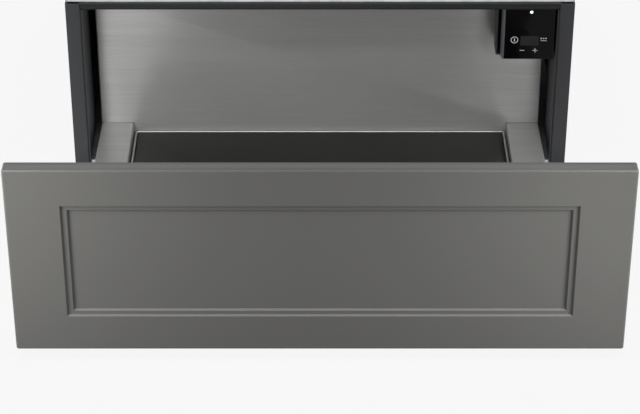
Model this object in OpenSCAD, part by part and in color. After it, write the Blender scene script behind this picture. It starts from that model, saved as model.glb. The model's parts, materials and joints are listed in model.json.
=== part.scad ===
// Built-in warming drawer, 76 cm class, drawn with its drawer pulled out.
// Millimetres. X across, Y into the cabinet, Z up. Inside the modules Y = 0 is the front plane of the
// casing; place() then moves every part so that the origin is the bottom centre of the whole appliance.

/* [Drawer front] */
// Width of the decorative front
front_w = 757; // [740:1:780]
// Height of the decorative front
front_h = 257.5; // [250:0.5:270]
// Thickness of the decorative front
front_t = 20; // [18:0.5:24]
// Height of the front's lower edge above the shelf
front_z = 14.5; // [12:0.5:16]
// Width of the upright margins beside the sunk panel
stile_w = 66.4; // [50:0.1:80]
// Width of the level margins above and below the sunk panel
rail_w = 49.5; // [40:0.1:60]
// Depth of each of the two moulded steps
step_depth = 2.8; // [1:0.1:3]
// Width of the upright steps' slant
side_slant = 2.3; // [1:0.1:3]
// Width of the level steps' slant
level_slant = 1.7; // [1:0.1:3]
// Width of the upright ledges between the two steps
side_ledge = 5.6; // [3:0.1:7]
// Width of the level ledges between the two steps
level_ledge = 4.9; // [3:0.1:7]

/* [Casing] */
// Outer width across the two front posts
casing_w = 702; // [694:1:712]
// Depth from the front plane to the back sheet
casing_d = 560; // [555:1:600]
// Height of the casing top above the shelf
casing_top = 266; // [262:1:268]
// Height of the feet
foot_h = 15; // [14:0.5:16]
// Thickness of the casing sheets
sheet = 1; // [0.8:0.1:1.2]
// Inner radius of the bends in the visible sheets
bend_r = 0.7; // [0.4:0.1:1.2]
// Width of the visible face of a post
post_face = 20.3; // [18:0.1:24]
// Depth of the inner return of a post
post_return = 89; // [80:1:100]

/* [Drawer] */
// Travel from shut to fully open
travel = 445; // [400:5:450]
// Outer width of the drawer across its rims
drawer_w = 634; // [620:1:636]
// Width of the flat rim over each runner
rim_w = 46.4; // [44:0.1:48]
// Height of the rims above the shelf
rim_top = 46; // [45:0.5:48]
// Height of the glass above the shelf
glass_top = 34; // [33:0.5:35]
// Distance of the tall back wall behind the casing's front plane when open
wall_y = 61.4; // [58:0.2:70]
// Top of the tall back wall above the shelf
wall_top = 252; // [240:1:254]

/* [Control unit] */
// Width of the touch glass
touch_w = 68.8; // [60:0.2:70]
// Height of the touch glass
touch_h = 76.2; // [60:0.2:80]
// Depth of the control unit behind the front plane
unit_d = 50; // [40:1:55]

/* [Hidden] */

round_fn = 48;          // circles of ordinary size
small_fn = 24;          // balls, rivets and screws
eps = 0.1;              // assembly gap between neighbouring sheets

// Front
front_gap = 2.5;                                     // gap between front and posts when shut
front_y = -(travel + front_gap + front_t);           // outer face of the open front
front_back_y = front_y + front_t;                    // back of the front
skin = 1.2;                                          // front sheet thickness
front_edge_r = 2.5;                                  // rounding of the front's edges
inner_pan_depth = 3.5;                               // pressed pan of the inner panel
buffer_t = front_gap - 0.2;

// Casing
post_x = casing_w / 2;                               // outer edge of a post
face_in_x = post_x - post_face;                      // inner edge of the post's face
seal_w = 1.4;                                        // seal groove between face and return
return_x = face_in_x - seal_w;                       // outer side of the inner return
opening_x = return_x - sheet;                        // half the clear width between the returns
side_out_x = post_x - sheet - eps;                   // outer side of a side sheet
side_in_x = side_out_x - sheet;
base_top = foot_h + sheet;
rail_z = casing_top - 7.5;                           // underside of the front rail
rail_lip = 2.6;
return_top = rail_z - 1.5;
post_bottom = 2;
inlet_flange = 2;                                    // how far the inlet stands out of the back
rear_y = casing_d - sheet;                           // inner side of the back sheet
foot_x = 322;
foot_y = [45, 515];
foot_r = 12;
foot_hole_r = 2.6;
shift_y = (-front_y - (casing_d + inlet_flange)) / 2;

// Drawer
rim_x = drawer_w / 2;                                // outer edge of a rim
rim_in_x = rim_x - rim_w;                            // inner edge of a rim
tray_x = rim_x - 29;                                 // outer side of the tray wall
tray_z = base_top + 3;                               // underside of the tray
tray_front_y = front_back_y + 8;
tray_rear_y = wall_y - 0.2;
wall_t = 1;
trim_w = 3;
trim_x = rim_in_x - 2.4;                             // outer side of the glass trim
trim_front_y = tray_front_y + 4;
trim_rear_y = wall_y - 1.2;
trim_corner_r = 5;
glass_t = 4;
glass_gap = 0.2;
ledge = 6;
heater_t = 1.4;
mat_top = glass_top - glass_t - heater_t - 1.2;

// Runners
runner_mid_z = base_top + 14.5;
runner_len = 500;
runner_y = 20;                                       // front end of the fixed member
metal_t = 1.2;
runner_bend = 0.6;                                   // inner radius of the runners' bends
fixed_x = tray_x + 14.2;                             // outer side of the fixed member
ball_r = 1.4;
race_gap = 1.7;
race_r = 1.5;
outer_h = 13;                                        // half height of the fixed member
middle_h = outer_h - metal_t - race_gap;
inner_h = middle_h - metal_t - race_gap;
outer_ball_z = (outer_h - metal_t + middle_h) / 2;
inner_ball_z = (middle_h - metal_t + inner_h) / 2;
outer_ball_x = tray_x + 7.5;
inner_ball_x = tray_x + 5.5;
cage_len = 150;
cage_pitch = 20;
cage_side_balls = 3;                                 // balls on each side of the middle one
stop_h = 1.9;                                        // height of the pressed stops in a runner web
cage_t = 0.7;
cage_centre = runner_y + runner_len / 2;             // cage centre when shut

// Control unit
touch_y = 2;
touch_t = 3;
touch_x = 256.3;                                     // left edge of the touch glass
touch_top = return_top - 0.5;
touch_z = touch_top - touch_h;
carrier_back_y = 15;
unit_x = touch_x - 10.3;                             // left side of the housing
display_x = touch_x + 22.1;
display_z = touch_z + 21.1;
display_w = 25.4;
display_h = 14.7;
lamp_x = touch_x + 35.6;
lamp_z = touch_top - 4;
lamp_r = 2.2;

// Power box and latch
box_x = [-262, -128];
box_z = [44, 124];
box_depth = 33;
latch_z = 26;
latch_r = 7;
plunger_r = 3.6;
plunger_len = 21.2;
push_travel = 6;                                     // how far the plunger can be pushed in
spring_r = 1.9;
wire_r = 0.35;
latch_bore = 39;
shut_wall_y = wall_y + wall_t + travel;              // rear face of the back wall when shut
plunger_tip_y = shut_wall_y + 0.4;
latch_front_y = plunger_tip_y + 6.6;

// ---------- helpers ----------

module place() translate([0, shift_y, 0]) children();

module on_side(side) {
    if (side > 0) children();
    else mirror([1, 0, 0]) children();
}

module box(lo, hi) translate(lo) cube(hi - lo);

// Flat shape drawn in X and Y, standing from z0 to z1
module upright(z0, z1) translate([0, 0, z0]) linear_extrude(z1 - z0) children();

// Flat shape drawn in X and Z, running from y0 to y1
module along_y(y0, y1) translate([0, y1, 0]) rotate([90, 0, 0]) linear_extrude(y1 - y0) children();

// Flat shape drawn in Y and Z, running from x0 to x1
module along_x(x0, x1) translate([x0, 0, 0]) rotate([90, 0, 90]) linear_extrude(x1 - x0) children();

module round_rect(lo, hi, r) {
    difference() {
        translate(lo) square(hi - lo);
        for (c = [[lo[0], lo[1], 0], [hi[0], lo[1], 90], [hi[0], hi[1], 180], [lo[0], hi[1], 270]])
            translate([c[0], c[1]]) rotate(c[2]) difference() {
                translate([-1, -1]) square(r + 1);
                translate([r, r]) circle(r, $fn = round_fn);
            }
    }
}

// A slot with round ends, lying along X
module slot(length, width) {
    translate([-(length - width) / 2, -width / 2]) square([length - width, width]);
    for (s = [-1, 1]) translate([s * (length - width) / 2, 0]) circle(width / 2, $fn = small_fn);
}

function unit(v) = v / norm(v);
function left_of(v) = [-v[1], v[0]];
function turned(v, a) = [v[0] * cos(a) - v[1] * sin(a), v[0] * sin(a) + v[1] * cos(a)];

// One face of a bent strip: the path moved sideways by "off", with arcs about the middle of each bend
function strip_face(path, off, mid_r, steps = 4) = let (last = len(path) - 1) [
    for (i = [0:last]) let (
        a = unit(path[max(i, 1)] - path[max(i, 1) - 1]),
        b = unit(path[min(i + 1, last)] - path[min(i, last - 1)]))
        if (i == 0 || i == last) path[i] + off * left_of(i == 0 ? b : a)
        else let (
            turn = sign(cross(a, b)),
            sweep = atan2(cross(a, b), a * b),
            centre = path[i] + turn * mid_r / (1 + a * b) * (left_of(a) + left_of(b)))
            each [for (k = [0:steps]) centre - (turn * mid_r - off) * turned(left_of(a), sweep * k / steps)]];

// Sheet of thickness t folded along a path of straight lines, r being the inner radius of its bends
module bent_strip(path, t, r) {
    one = strip_face(path, t / 2, r + t / 2);
    other = strip_face(path, -t / 2, r + t / 2);
    polygon(concat(one, [for (i = [len(other) - 1:-1:0]) other[i]]));
}

function edge_arc(x, r, steps = 4) = [for (i = [0:steps]) let (a = 90 * i / steps)
    [x - r + r * sin(a), r - r * cos(a)]];

// A slab whose front edges, at y = 0, are rounded; drawn from its middle
module edged_slab(w, h, t, r) {
    half = w / 2;
    tall = h / 2;
    arc_w = edge_arc(half, r);
    arc_h = edge_arc(tall, r);
    intersection() {
        upright(-tall, tall)
            polygon(concat([[0, 0]], arc_w, [[half, t], [-half, t]],
                [for (i = [len(arc_w) - 1:-1:0]) [-arc_w[i][0], arc_w[i][1]]]));
        along_x(-half, half)
            polygon(concat([[0, 0]], [for (p = arc_h) [p[1], p[0]]], [[t, tall], [t, -tall]],
                [for (i = [len(arc_h) - 1:-1:0]) [arc_h[i][1], -arc_h[i][0]]]));
        along_y(0, t) round_rect([-half, -tall], [half, tall], r);
    }
}

// A sunk block whose four sides slant inwards by "slant" over its depth; drawn from its middle
module sunk_block(w, h) {
    over = 1;
    side_grow = side_slant / step_depth * over;
    level_grow = level_slant / step_depth * over;
    intersection() {
        upright(-h, h) polygon([[-w / 2 - side_grow, -over], [w / 2 + side_grow, -over],
            [w / 2 - side_slant, step_depth], [-w / 2 + side_slant, step_depth]]);
        along_x(-w, w) polygon([[-over, -h / 2 - level_grow], [-over, h / 2 + level_grow],
            [step_depth, h / 2 - level_slant], [step_depth, -h / 2 + level_slant]]);
    }
}

module pan_screw(head_r = 3.4, head_h = 1.6, shank_r = 1.45, shank = 2.6) {
    // axis +Z, head from z = 0 up, shank below
    cylinder(h = head_h, r1 = head_r, r2 = head_r * 0.62, $fn = small_fn);
    translate([0, 0, -shank]) cylinder(h = shank, r = shank_r, $fn = small_fn);
}

// ---------- decorative front ----------

panel_w = front_w - 2 * stile_w;
panel_h = front_h - 2 * rail_w;
inner_panel_w = panel_w - 2 * (side_slant + side_ledge);
inner_panel_h = panel_h - 2 * (level_slant + level_ledge);

module front_steps(grow, push) {
    translate([0, push, 0]) {
        sunk_block(panel_w + 2 * grow, panel_h + 2 * grow);
        translate([0, step_depth, 0])
            sunk_block(inner_panel_w + 2 * grow, inner_panel_h + 2 * grow);
    }
}

module drawer_front() color([0.37, 0.365, 0.35]) place()
    translate([0, front_y, front_z + front_h / 2]) difference() {
        edged_slab(front_w, front_h, front_t, front_edge_r);
        difference() {
            box([-front_w / 2 + skin, skin, -front_h / 2 + skin],
                [front_w / 2 - skin, front_t + 1, front_h / 2 - skin]);
            front_steps(skin * 0.6, skin);
        }
        front_steps(0, 0);
    }

module front_inner_panel() color([0.62, 0.62, 0.62]) place()
    translate([0, front_back_y, front_z + front_h / 2]) {
        lo = [-front_w / 2 + skin + eps, -front_h / 2 + skin + eps];
        hi = [front_w / 2 - skin - eps, front_h / 2 - skin - eps];
        pan_lo = [-rim_x + 4, rim_top + 3 - front_z - front_h / 2];
        pan_hi = [rim_x - 4, wall_top - 6 - front_z - front_h / 2];
        difference() {
            along_y(-sheet, 0) round_rect(lo, hi, 2);
            along_y(-2, 1) round_rect(pan_lo + [1, 1], pan_hi - [1, 1], 7);
        }
        // pressed pan that closes the front end of the drawer
        difference() {
            along_y(-sheet, inner_pan_depth) round_rect(pan_lo, pan_hi, 8);
            along_y(-2, inner_pan_depth - sheet)
                round_rect(pan_lo + [1, 1], pan_hi - [1, 1], 7);
        }
    }

module front_insulation() color([0.86, 0.85, 0.78]) place()
    translate([0, front_y, front_z + front_h / 2])
        box([-front_w / 2 + 12, 2 * step_depth + skin + 0.6, -front_h / 2 + 12],
            [front_w / 2 - 12, front_t - sheet - 0.4, front_h / 2 - 12]);

module front_buffers() color([0.1, 0.1, 0.1]) place()
    for (s = [-1, 1], z = [44, 238])
        translate([s * (post_x - post_face / 2), front_back_y, z])
            rotate([-90, 0, 0]) cylinder(h = buffer_t, r1 = 5, r2 = 4, $fn = small_fn);

// Angle under the rim that ties the tray wall to the back of the front
module front_bracket(side) color([0.55, 0.56, 0.57]) place() on_side(side) {
    x0 = tray_x - sheet - 2.1;
    z0 = tray_z + 2.4;
    difference() {
        along_x(x0, x0 + 2) polygon([
            [front_back_y + 0.1, z0], [tray_front_y + 70, z0],
            [tray_front_y + 70, tray_z + 12], [tray_front_y + 50, rim_top - 2.2],
            [front_back_y + 0.1, rim_top - 2.2]]);
        for (y = [20, 55]) translate([x0 - 1, tray_front_y + y, runner_mid_z])
            rotate([0, 90, 0]) cylinder(h = 4, r = 1.6, $fn = small_fn);
    }
    box([x0 - 12, front_back_y + 0.1, z0], [x0, front_back_y + 2.1, rim_top - 2.2]);
}

// ---------- drawer body ----------

module drawer_tray() color([0.66, 0.67, 0.68]) place() difference() {
    union() {
        // floor with walls bent up at the front and the sides
        box([-tray_x, tray_front_y, tray_z], [tray_x, tray_rear_y, tray_z + sheet]);
        for (s = [1, -1]) on_side(s)
            box([tray_x - sheet, tray_front_y, tray_z], [tray_x, tray_rear_y, rim_top - sheet - eps]);
        box([-rim_in_x + 0.6, tray_front_y, tray_z], [rim_in_x - 0.6, tray_front_y + sheet, glass_top - 1]);
        // tabs under the feet of the back wall
        for (s = [1, -1]) on_side(s)
            box([rim_in_x - 62, tray_rear_y - 1, tray_z], [rim_in_x - 18, wall_y + 12, tray_z + sheet]);
        // front lip that is screwed to the inner panel
        box([-tray_x + 30, front_back_y + 0.1, tray_z], [tray_x - 30, tray_front_y + 0.5, tray_z + sheet]);
        box([-tray_x + 30, front_back_y + 0.1, tray_z], [tray_x - 30, front_back_y + 1.1, tray_z + 13]);
    }
    for (x = [-180:60:180], y = [-330, -230, -130, -30])
        translate([x, y, tray_z - 1]) linear_extrude(3) slot(34, 4);
    translate([grommet_at[0], grommet_at[1], tray_z - 1]) cylinder(h = 3, r = 6, $fn = small_fn);
    for (s = [1, -1], y = [20, 55]) translate([s * tray_x - 3, tray_front_y + y, runner_mid_z])
        rotate([0, 90, 0]) cylinder(h = 6, r = 1.6, $fn = small_fn);
}

module rim(side) color([0.66, 0.66, 0.65]) place() on_side(side) {
    y0 = front_back_y + 0.4;
    y1 = wall_y + 14;
    half = sheet / 2;
    foot = tray_z + sheet + eps + half;
    low = rim_top - 6 + half;
    edge = [[rim_x - half, rim_top - half], [rim_x - half, low], [rim_x - 4.5, low]];
    // inner fold reaches down to the glass trim, in front of the back wall only
    fold = [[rim_in_x + 9, foot], [rim_in_x + half, foot], [rim_in_x + half, rim_top - half]];
    along_y(y0, wall_y - eps) bent_strip(concat(fold, edge), sheet, bend_r);
    along_y(wall_y - 2 * eps, y1) bent_strip(concat([[rim_in_x + 3, rim_top - half]], edge), sheet, bend_r);
}

module back_wall() color([0.62, 0.62, 0.61]) place() {
    half = wall_t / 2;
    edge = bend_r + wall_t;                          // where the bends begin
    low = rim_top + 0.7;
    // sheet that steps down between the rims
    along_y(wall_y, wall_y + wall_t) polygon([
        [-rim_x + edge, low], [-rim_in_x + 0.2, low], [-rim_in_x + 0.2, tray_z + 2],
        [rim_in_x - 0.2, tray_z + 2], [rim_in_x - 0.2, low], [rim_x - edge, low],
        [rim_x - edge, wall_top - edge], [-rim_x + edge, wall_top - edge]]);
    // folds on the sides and the top, open at the corners
    for (s = [1, -1]) on_side(s) upright(low, wall_top - edge) bent_strip(
        [[rim_x - 8, wall_y + half], [rim_x - half, wall_y + half], [rim_x - half, wall_y + 14]],
        wall_t, bend_r);
    along_x(-rim_x + edge, rim_x - edge) bent_strip([
        [wall_y + half, wall_top - 8], [wall_y + half, wall_top - half],
        [wall_y + 14 - half, wall_top - half], [wall_y + 14 - half, wall_top - 9]], wall_t, bend_r);
    for (s = [1, -1]) on_side(s)
        box([rim_in_x - 60, wall_y, tray_z + 2], [rim_in_x - 20, wall_y + 12, tray_z + 3]);
}

// Gusset that ties the back wall to the rear end of a rim
module back_bracket(side) color([0.55, 0.56, 0.57]) place() on_side(side) {
    x0 = rim_in_x + 8;
    along_x(x0, x0 + 1.5) polygon([
        [wall_y + wall_t + eps, rim_top + eps], [wall_y + 13.5, rim_top + eps],
        [wall_y + 13.5, rim_top + 30], [wall_y + 6, rim_top + 120], [wall_y + wall_t + eps, rim_top + 120]]);
    box([x0, wall_y + wall_t + eps, rim_top + eps], [x0 + 16, wall_y + 13.5, rim_top + 1.6]);
    box([x0, wall_y + wall_t + eps, rim_top + eps], [x0 + 16, wall_y + wall_t + 1.6, rim_top + 120]);
}

// ---------- heated glass ----------

module glass_trim() color([0.75, 0.75, 0.74]) place() {
    lo = [-trim_x, trim_front_y];
    hi = [trim_x, trim_rear_y];
    in = [trim_w, trim_w];
    under = [trim_w + ledge, trim_w + ledge];
    difference() {
        upright(tray_z + sheet + eps, glass_top) round_rect(lo, hi, trim_corner_r);
        upright(glass_top - glass_t - eps, glass_top + 1) round_rect(lo + in, hi - in, 3);
        upright(tray_z, glass_top - glass_t - 1.2) round_rect(lo + [1, 1], hi - [1, 1], 4);
        upright(tray_z, glass_top + 1) round_rect(lo + under, hi - under, 2);
    }
}

module warming_glass() color([0.13, 0.13, 0.12]) place()
    upright(glass_top - glass_t, glass_top - 0.2)
        round_rect([-trim_x + trim_w + glass_gap, trim_front_y + trim_w + glass_gap],
            [trim_x - trim_w - glass_gap, trim_rear_y - trim_w - glass_gap], 2.8);

heater_x = trim_x - trim_w - ledge - 1;
heater_y0 = trim_front_y + trim_w + ledge + 1;
heater_y1 = trim_rear_y - trim_w - ledge - 1;
heater_top = glass_top - glass_t - eps;

module heater_plate() color([0.8, 0.81, 0.82]) place()
    upright(heater_top - heater_t, heater_top) round_rect([-heater_x, heater_y0], [heater_x, heater_y1], 4);

// Foil heater: parallel runs joined by half rings
track_w = 6;
track_pitch = 34;
track_runs = 12;
track_half = heater_x - 36;

module half_ring(r_mid) difference() {
    circle(r_mid + track_w / 2, $fn = round_fn);
    circle(r_mid - track_w / 2, $fn = round_fn);
    translate([-2 * r_mid, -2 * r_mid]) square([2 * r_mid, 4 * r_mid]);
}

module heater_track() color([0.72, 0.45, 0.2]) place() {
    first = (heater_y0 + heater_y1 - (track_runs - 1) * track_pitch) / 2;
    upright(heater_top - heater_t - 0.7, heater_top - heater_t - 0.05) {
        for (i = [0:track_runs - 1])
            translate([-track_half, first + i * track_pitch - track_w / 2])
                square([2 * track_half, track_w]);
        for (i = [0:track_runs - 2])
            translate([(i % 2 == 0 ? 1 : -1) * track_half, first + (i + 0.5) * track_pitch])
                rotate(i % 2 == 0 ? 0 : 180) half_ring(track_pitch / 2);
    }
}

sensor_at = [60, -140];
thermostat_at = [-60, -230];
grommet_at = [-185, wall_y - 23];

module insulation_mat() color([0.9, 0.89, 0.84]) place() difference() {
    upright(tray_z + sheet + eps, mat_top)
        round_rect([-heater_x + 1, heater_y0 + 1], [heater_x - 1, heater_y1 - 1], 4);
    for (p = [sensor_at, thermostat_at, grommet_at])
        translate([p[0], p[1], tray_z]) cylinder(h = 20, r = 12, $fn = round_fn);
}

module temperature_sensor() color([0.85, 0.83, 0.75]) place()
    translate([sensor_at[0], sensor_at[1], 0]) {
        translate([0, 0, mat_top - 3.4]) cylinder(h = 3.2, r = 3, $fn = small_fn);
        translate([-8, -4, mat_top - 1.2]) cube([16, 8, 1]);
    }

module safety_thermostat() color([0.3, 0.3, 0.32]) place()
    translate([thermostat_at[0], thermostat_at[1], 0]) {
        translate([0, 0, tray_z + sheet + 1.5])
            cylinder(h = mat_top - tray_z - sheet - 1.7, r = 8, $fn = round_fn);
        for (s = [-1, 1]) translate([s * 5 - 1.5, -0.4, tray_z + sheet + 0.3]) cube([3, 0.8, 3]);
    }

module lead_grommet() color([0.08, 0.08, 0.08]) place()
    translate([grommet_at[0], grommet_at[1], 0]) difference() {
        union() {
            translate([0, 0, tray_z - 0.6]) cylinder(h = 0.6, r = 8, $fn = small_fn);
            translate([0, 0, tray_z - 0.6]) cylinder(h = sheet + 2, r = 5.9, $fn = small_fn);
        }
        translate([0, 0, tray_z - 2]) cylinder(h = 8, r = 3.4, $fn = small_fn);
    }

module drawer_screws() color([0.7, 0.7, 0.7]) place()
    for (s = [1, -1], y = [20, 55]) on_side(s)
        translate([tray_x - sheet - 2.1, tray_front_y + y, runner_mid_z])
            rotate([0, -90, 0]) pan_screw(head_r = 2.8, head_h = 1.4, shank = 3);

// ---------- runners ----------

// Section of a channel member in X and Z: a strip bent round the balls, from its web to its tips
module channel(web_x, tip_x, half_h) {
    flange_z = half_h - metal_t / 2;
    bent_strip([[tip_x, flange_z], [web_x, flange_z], [web_x, -flange_z], [tip_x, -flange_z]],
        metal_t, runner_bend);
}

// The round grooves that the balls run in, or with "more" the swell of the strip behind them
module races(ball_x, ball_z, more = 0)
    for (s = [1, -1]) translate([ball_x, s * ball_z]) circle(race_r + more, $fn = small_fn);

// Stops pressed out of a web at "y", which end the way of a ball cage
module web_stops(web_x, reach, y)
    for (at = y) box([min(web_x, web_x + reach), at - 2, -3], [max(web_x, web_x + reach), at + 2, 3]);

module runner_outer(side) color([0.72, 0.73, 0.75]) place() on_side(side)
    translate([0, 0, runner_mid_z]) difference() {
        union() {
            along_y(runner_y, runner_y + runner_len) difference() {
                union() {
                    channel(fixed_x - metal_t / 2, tray_x + 4.5, outer_h);
                    intersection() {
                        races(outer_ball_x, outer_ball_z, metal_t);
                        for (s = [1, -1]) translate([tray_x + 4.5, s * (outer_h - 0.2) - 1]) square([8, 2]);
                    }
                }
                races(outer_ball_x, outer_ball_z);
            }
            web_stops(fixed_x - metal_t + eps, -stop_h - eps,
                [cage_centre - travel / 4 - cage_len / 2 - 4, cage_centre + cage_len / 2 + 4]);
        }
        for (y = [40, 250, 460]) translate([fixed_x - 3, runner_y + y, 0])
            rotate([0, 90, 0]) cylinder(h = 5, r = 2.6, $fn = small_fn);
    }

module runner_middle(side) color([0.76, 0.77, 0.79]) place() on_side(side)
    translate([0, -travel / 2, runner_mid_z]) difference() {
        along_y(runner_y, runner_y + runner_len) difference() {
            channel(fixed_x - metal_t / 2 - 3.8, tray_x + 3, middle_h);
            races(outer_ball_x, outer_ball_z);
            races(inner_ball_x, inner_ball_z);
        }
        for (y = [60, 440]) translate([fixed_x - 8, runner_y + y, 0])
            rotate([0, 90, 0]) linear_extrude(8) rotate(90) slot(26, 6);
    }

module runner_inner(side) color([0.76, 0.77, 0.79]) place() on_side(side)
    translate([0, -travel, runner_mid_z]) difference() {
        along_y(runner_y, runner_y + runner_len) difference() {
            union() {
                channel(tray_x + eps + metal_t / 2, tray_x + 8, inner_h);
                intersection() {
                    races(inner_ball_x, inner_ball_z, metal_t);
                    for (s = [1, -1]) translate([tray_x + 3, s * (inner_h - metal_t) - 0.8]) square([5, 1.6]);
                }
            }
            races(inner_ball_x, inner_ball_z);
        }
        for (y = [tray_front_y + 20 + travel, tray_front_y + 55 + travel])
            translate([tray_x - 1, y, 0]) rotate([0, 90, 0]) cylinder(h = 5, r = 1.6, $fn = small_fn);
    }

// Ball cage: a bent strip with a row of balls in each arm
module ball_cage(side, moved, web_x, ball_x, ball_z) place() on_side(side)
    translate([0, cage_centre - moved, runner_mid_z]) {
        half = cage_len / 2;
        balls = [-cage_side_balls:cage_side_balls];
        color([0.85, 0.86, 0.88]) for (i = balls, s = [1, -1])
            translate([ball_x, i * cage_pitch, s * ball_z]) sphere(ball_r, $fn = small_fn);
        color([0.6, 0.61, 0.63]) difference() {
            union() {
                thin = cage_t / 2;
                box([web_x, -half, -ball_z - thin], [web_x + cage_t, half, ball_z + thin]);
                for (z = [-ball_z, ball_z])
                    box([ball_x - 1.9, -half, z - thin], [web_x + cage_t, half, z + thin]);
            }
            for (i = balls) translate([ball_x, i * cage_pitch, -ball_z - 2])
                cylinder(h = 2 * ball_z + 4, r = race_r, $fn = small_fn);
        }
    }

module outer_ball_cage(side)
    ball_cage(side, travel / 4, fixed_x - metal_t - 1.9, outer_ball_x, outer_ball_z);

module inner_ball_cage(side)
    ball_cage(side, travel * 3 / 4, tray_x + 8.2, inner_ball_x, inner_ball_z);

// Angle that carries the fixed member on the casing floor
module runner_bracket(side) color([0.6, 0.61, 0.62]) place() on_side(side) difference() {
    union() {
        box([fixed_x, runner_y, base_top],
            [fixed_x + 1.5, runner_y + runner_len, runner_mid_z + outer_h - 1]);
        for (y = [0, 210, 430])
            box([fixed_x, runner_y + y, base_top], [fixed_x + 12.5, runner_y + y + 70, base_top + 1.5]);
    }
    for (y = [40, 250, 460]) translate([fixed_x - 3, runner_y + y, runner_mid_z])
        rotate([0, 90, 0]) cylinder(h = 6, r = 2.6, $fn = small_fn);
}

// ---------- casing ----------

// Hollow bead pressed downwards out of a sheet whose top is z = 0, lying along Y
module bead(length, width, depth) {
    difference() {
        translate([0, 0, -depth]) linear_extrude(depth) rotate(90) slot(length, width);
        translate([0, 0, 0.8 - depth]) linear_extrude(depth + 0.2) rotate(90) slot(length - 2, width - 2);
    }
}

module casing_base() color([0.66, 0.68, 0.69]) place() {
    y0 = 6;
    y1 = rear_y - 1.2;
    half = side_in_x - eps;
    bead_y = (y0 + y1) / 2;
    difference() {
        box([-half, y0, foot_h], [half, y1, base_top]);
        for (s = [-1, 1], y = foot_y) translate([s * foot_x, y, 0])
            cylinder(h = 30, r = foot_hole_r, $fn = small_fn);
        for (x = [140:14:238]) translate([x, 470, foot_h - 1]) linear_extrude(4) rotate(90) slot(60, 5);
        for (x = [-120, 0, 120]) translate([x, bead_y, foot_h - 1])
            linear_extrude(4) rotate(90) slot(358, 12);
    }
    for (x = [-120, 0, 120]) translate([x, bead_y, base_top]) bead(360, 14, 2.4);
    // hem along the front, flanges along the sides and the rear
    box([-half, y0, foot_h - 3.5], [half, y0 + sheet, foot_h]);
    for (s = [1, -1]) on_side(s) difference() {
        box([half - sheet, post_return + 8, base_top], [half, y1, base_top + 13]);
        for (y = [150, 350, 530]) translate([half - 3, y, base_top + 7])
            rotate([0, 90, 0]) cylinder(h = 6, r = 1.5, $fn = small_fn);
    }
    box([-half + 20, y1 - sheet, base_top], [half - 20, y1, base_top + 13]);
}

module casing_side(side) color([0.2, 0.2, 0.21]) place() on_side(side) {
    z1 = casing_top - sheet - eps;
    difference() {
        box([side_in_x, sheet + bend_r + eps, foot_h], [side_out_x, rear_y - eps, z1]);
        for (y = [150, 350, 530]) translate([side_in_x - 3, y, base_top + 7])
            rotate([0, 90, 0]) cylinder(h = 6, r = 1.5, $fn = small_fn);
        for (y = [360:14:500]) translate([side_in_x - 1, y, 200])
            rotate([0, 90, 0]) linear_extrude(4) slot(50, 4);
    }
    box([side_in_x - 12, 12, z1 - sheet], [side_in_x, rear_y - 2, z1]);
    box([side_in_x - 12, rear_y - 1.1, base_top + 16], [side_in_x, rear_y - eps, z1 - 2]);
}

module casing_top() color([0.66, 0.68, 0.69]) place() {
    y0 = 8.2;
    z0 = casing_top - sheet;
    bead_y = (y0 + casing_d) / 2;
    xs = [-210, -70, 70, 210];
    difference() {
        box([-side_out_x, y0, z0], [side_out_x, casing_d, casing_top]);
        for (x = xs) translate([x, bead_y, z0 - 1]) linear_extrude(4) rotate(90) slot(398, 12);
    }
    for (x = xs) translate([x, bead_y, casing_top]) bead(400, 14, 2.6);
}

module casing_back() color([0.66, 0.68, 0.69]) place() difference() {
    box([-side_out_x, rear_y, foot_h], [side_out_x, casing_d, casing_top - sheet - eps]);
    for (x = [20:16:260], z = [150, 190]) translate([x, rear_y - 1, z])
        rotate([-90, 0, 0]) linear_extrude(4) rotate(90) slot(28, 5);
    translate([-195, rear_y - 1, 70]) rotate([-90, 0, 0]) cylinder(h = 4, r = 9, $fn = round_fn);
    for (x = [-300, -100, 100, 300], z = [foot_h + 8, casing_top - 8])
        translate([x, rear_y - 1, z]) rotate([-90, 0, 0]) cylinder(h = 4, r = 1.5, $fn = small_fn);
}

module front_post(side) color([0.24, 0.24, 0.25]) place() on_side(side) {
    half = sheet / 2;
    side_flange = [[post_x - half, 18], [post_x - half, half]];
    upright(post_bottom, casing_top)
        bent_strip(concat(side_flange, [[face_in_x + half, half], [face_in_x + half, 5]]), sheet, bend_r);
    // floor of the seal groove, folded on from the face
    upright(post_bottom, return_top) translate([opening_x, 4]) square([face_in_x - opening_x + sheet, sheet]);
    // inner return, cut away below so that the runner bracket passes
    along_x(opening_x, return_x) polygon([
        [0, base_top + eps], [52, base_top + eps], [52, base_top + 9.5], [post_return, base_top + 9.5],
        [post_return, return_top], [0, return_top]]);
    upright(post_bottom, base_top + 1) translate([opening_x, 0]) square([sheet, 5]);
}

module front_rail() color([0.27, 0.27, 0.28]) place() {
    half = sheet / 2;
    along_x(-face_in_x + eps, face_in_x - eps) bent_strip([
        [half, rail_z + rail_lip], [half, rail_z + half], [8 - half, rail_z + half],
        [8 - half, casing_top - sheet - eps]], sheet, bend_r);
}

module front_seal() color([0.05, 0.05, 0.05]) place() {
    for (s = [1, -1]) on_side(s)
        box([return_x + 0.05, 0.4, base_top], [face_in_x - 0.05, 3.9, return_top]);
    // round-nosed strip in the channel of the rail
    along_x(-face_in_x + eps, face_in_x - eps) {
        translate([1.5, rail_z + sheet + 0.1]) square([4.5, casing_top - rail_z - sheet - 0.2]);
        translate([1.5, rail_z + rail_lip + 0.1]) square([1, casing_top - rail_z - rail_lip - 0.2]);
        translate([0.5, rail_z + rail_lip + 0.2]) square([2, casing_top - rail_z - rail_lip - 0.3]);
    }
    along_x(-opening_x, opening_x) translate([1, return_top + 0.1]) square([6, rail_z - return_top - 0.2]);
}

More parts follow.
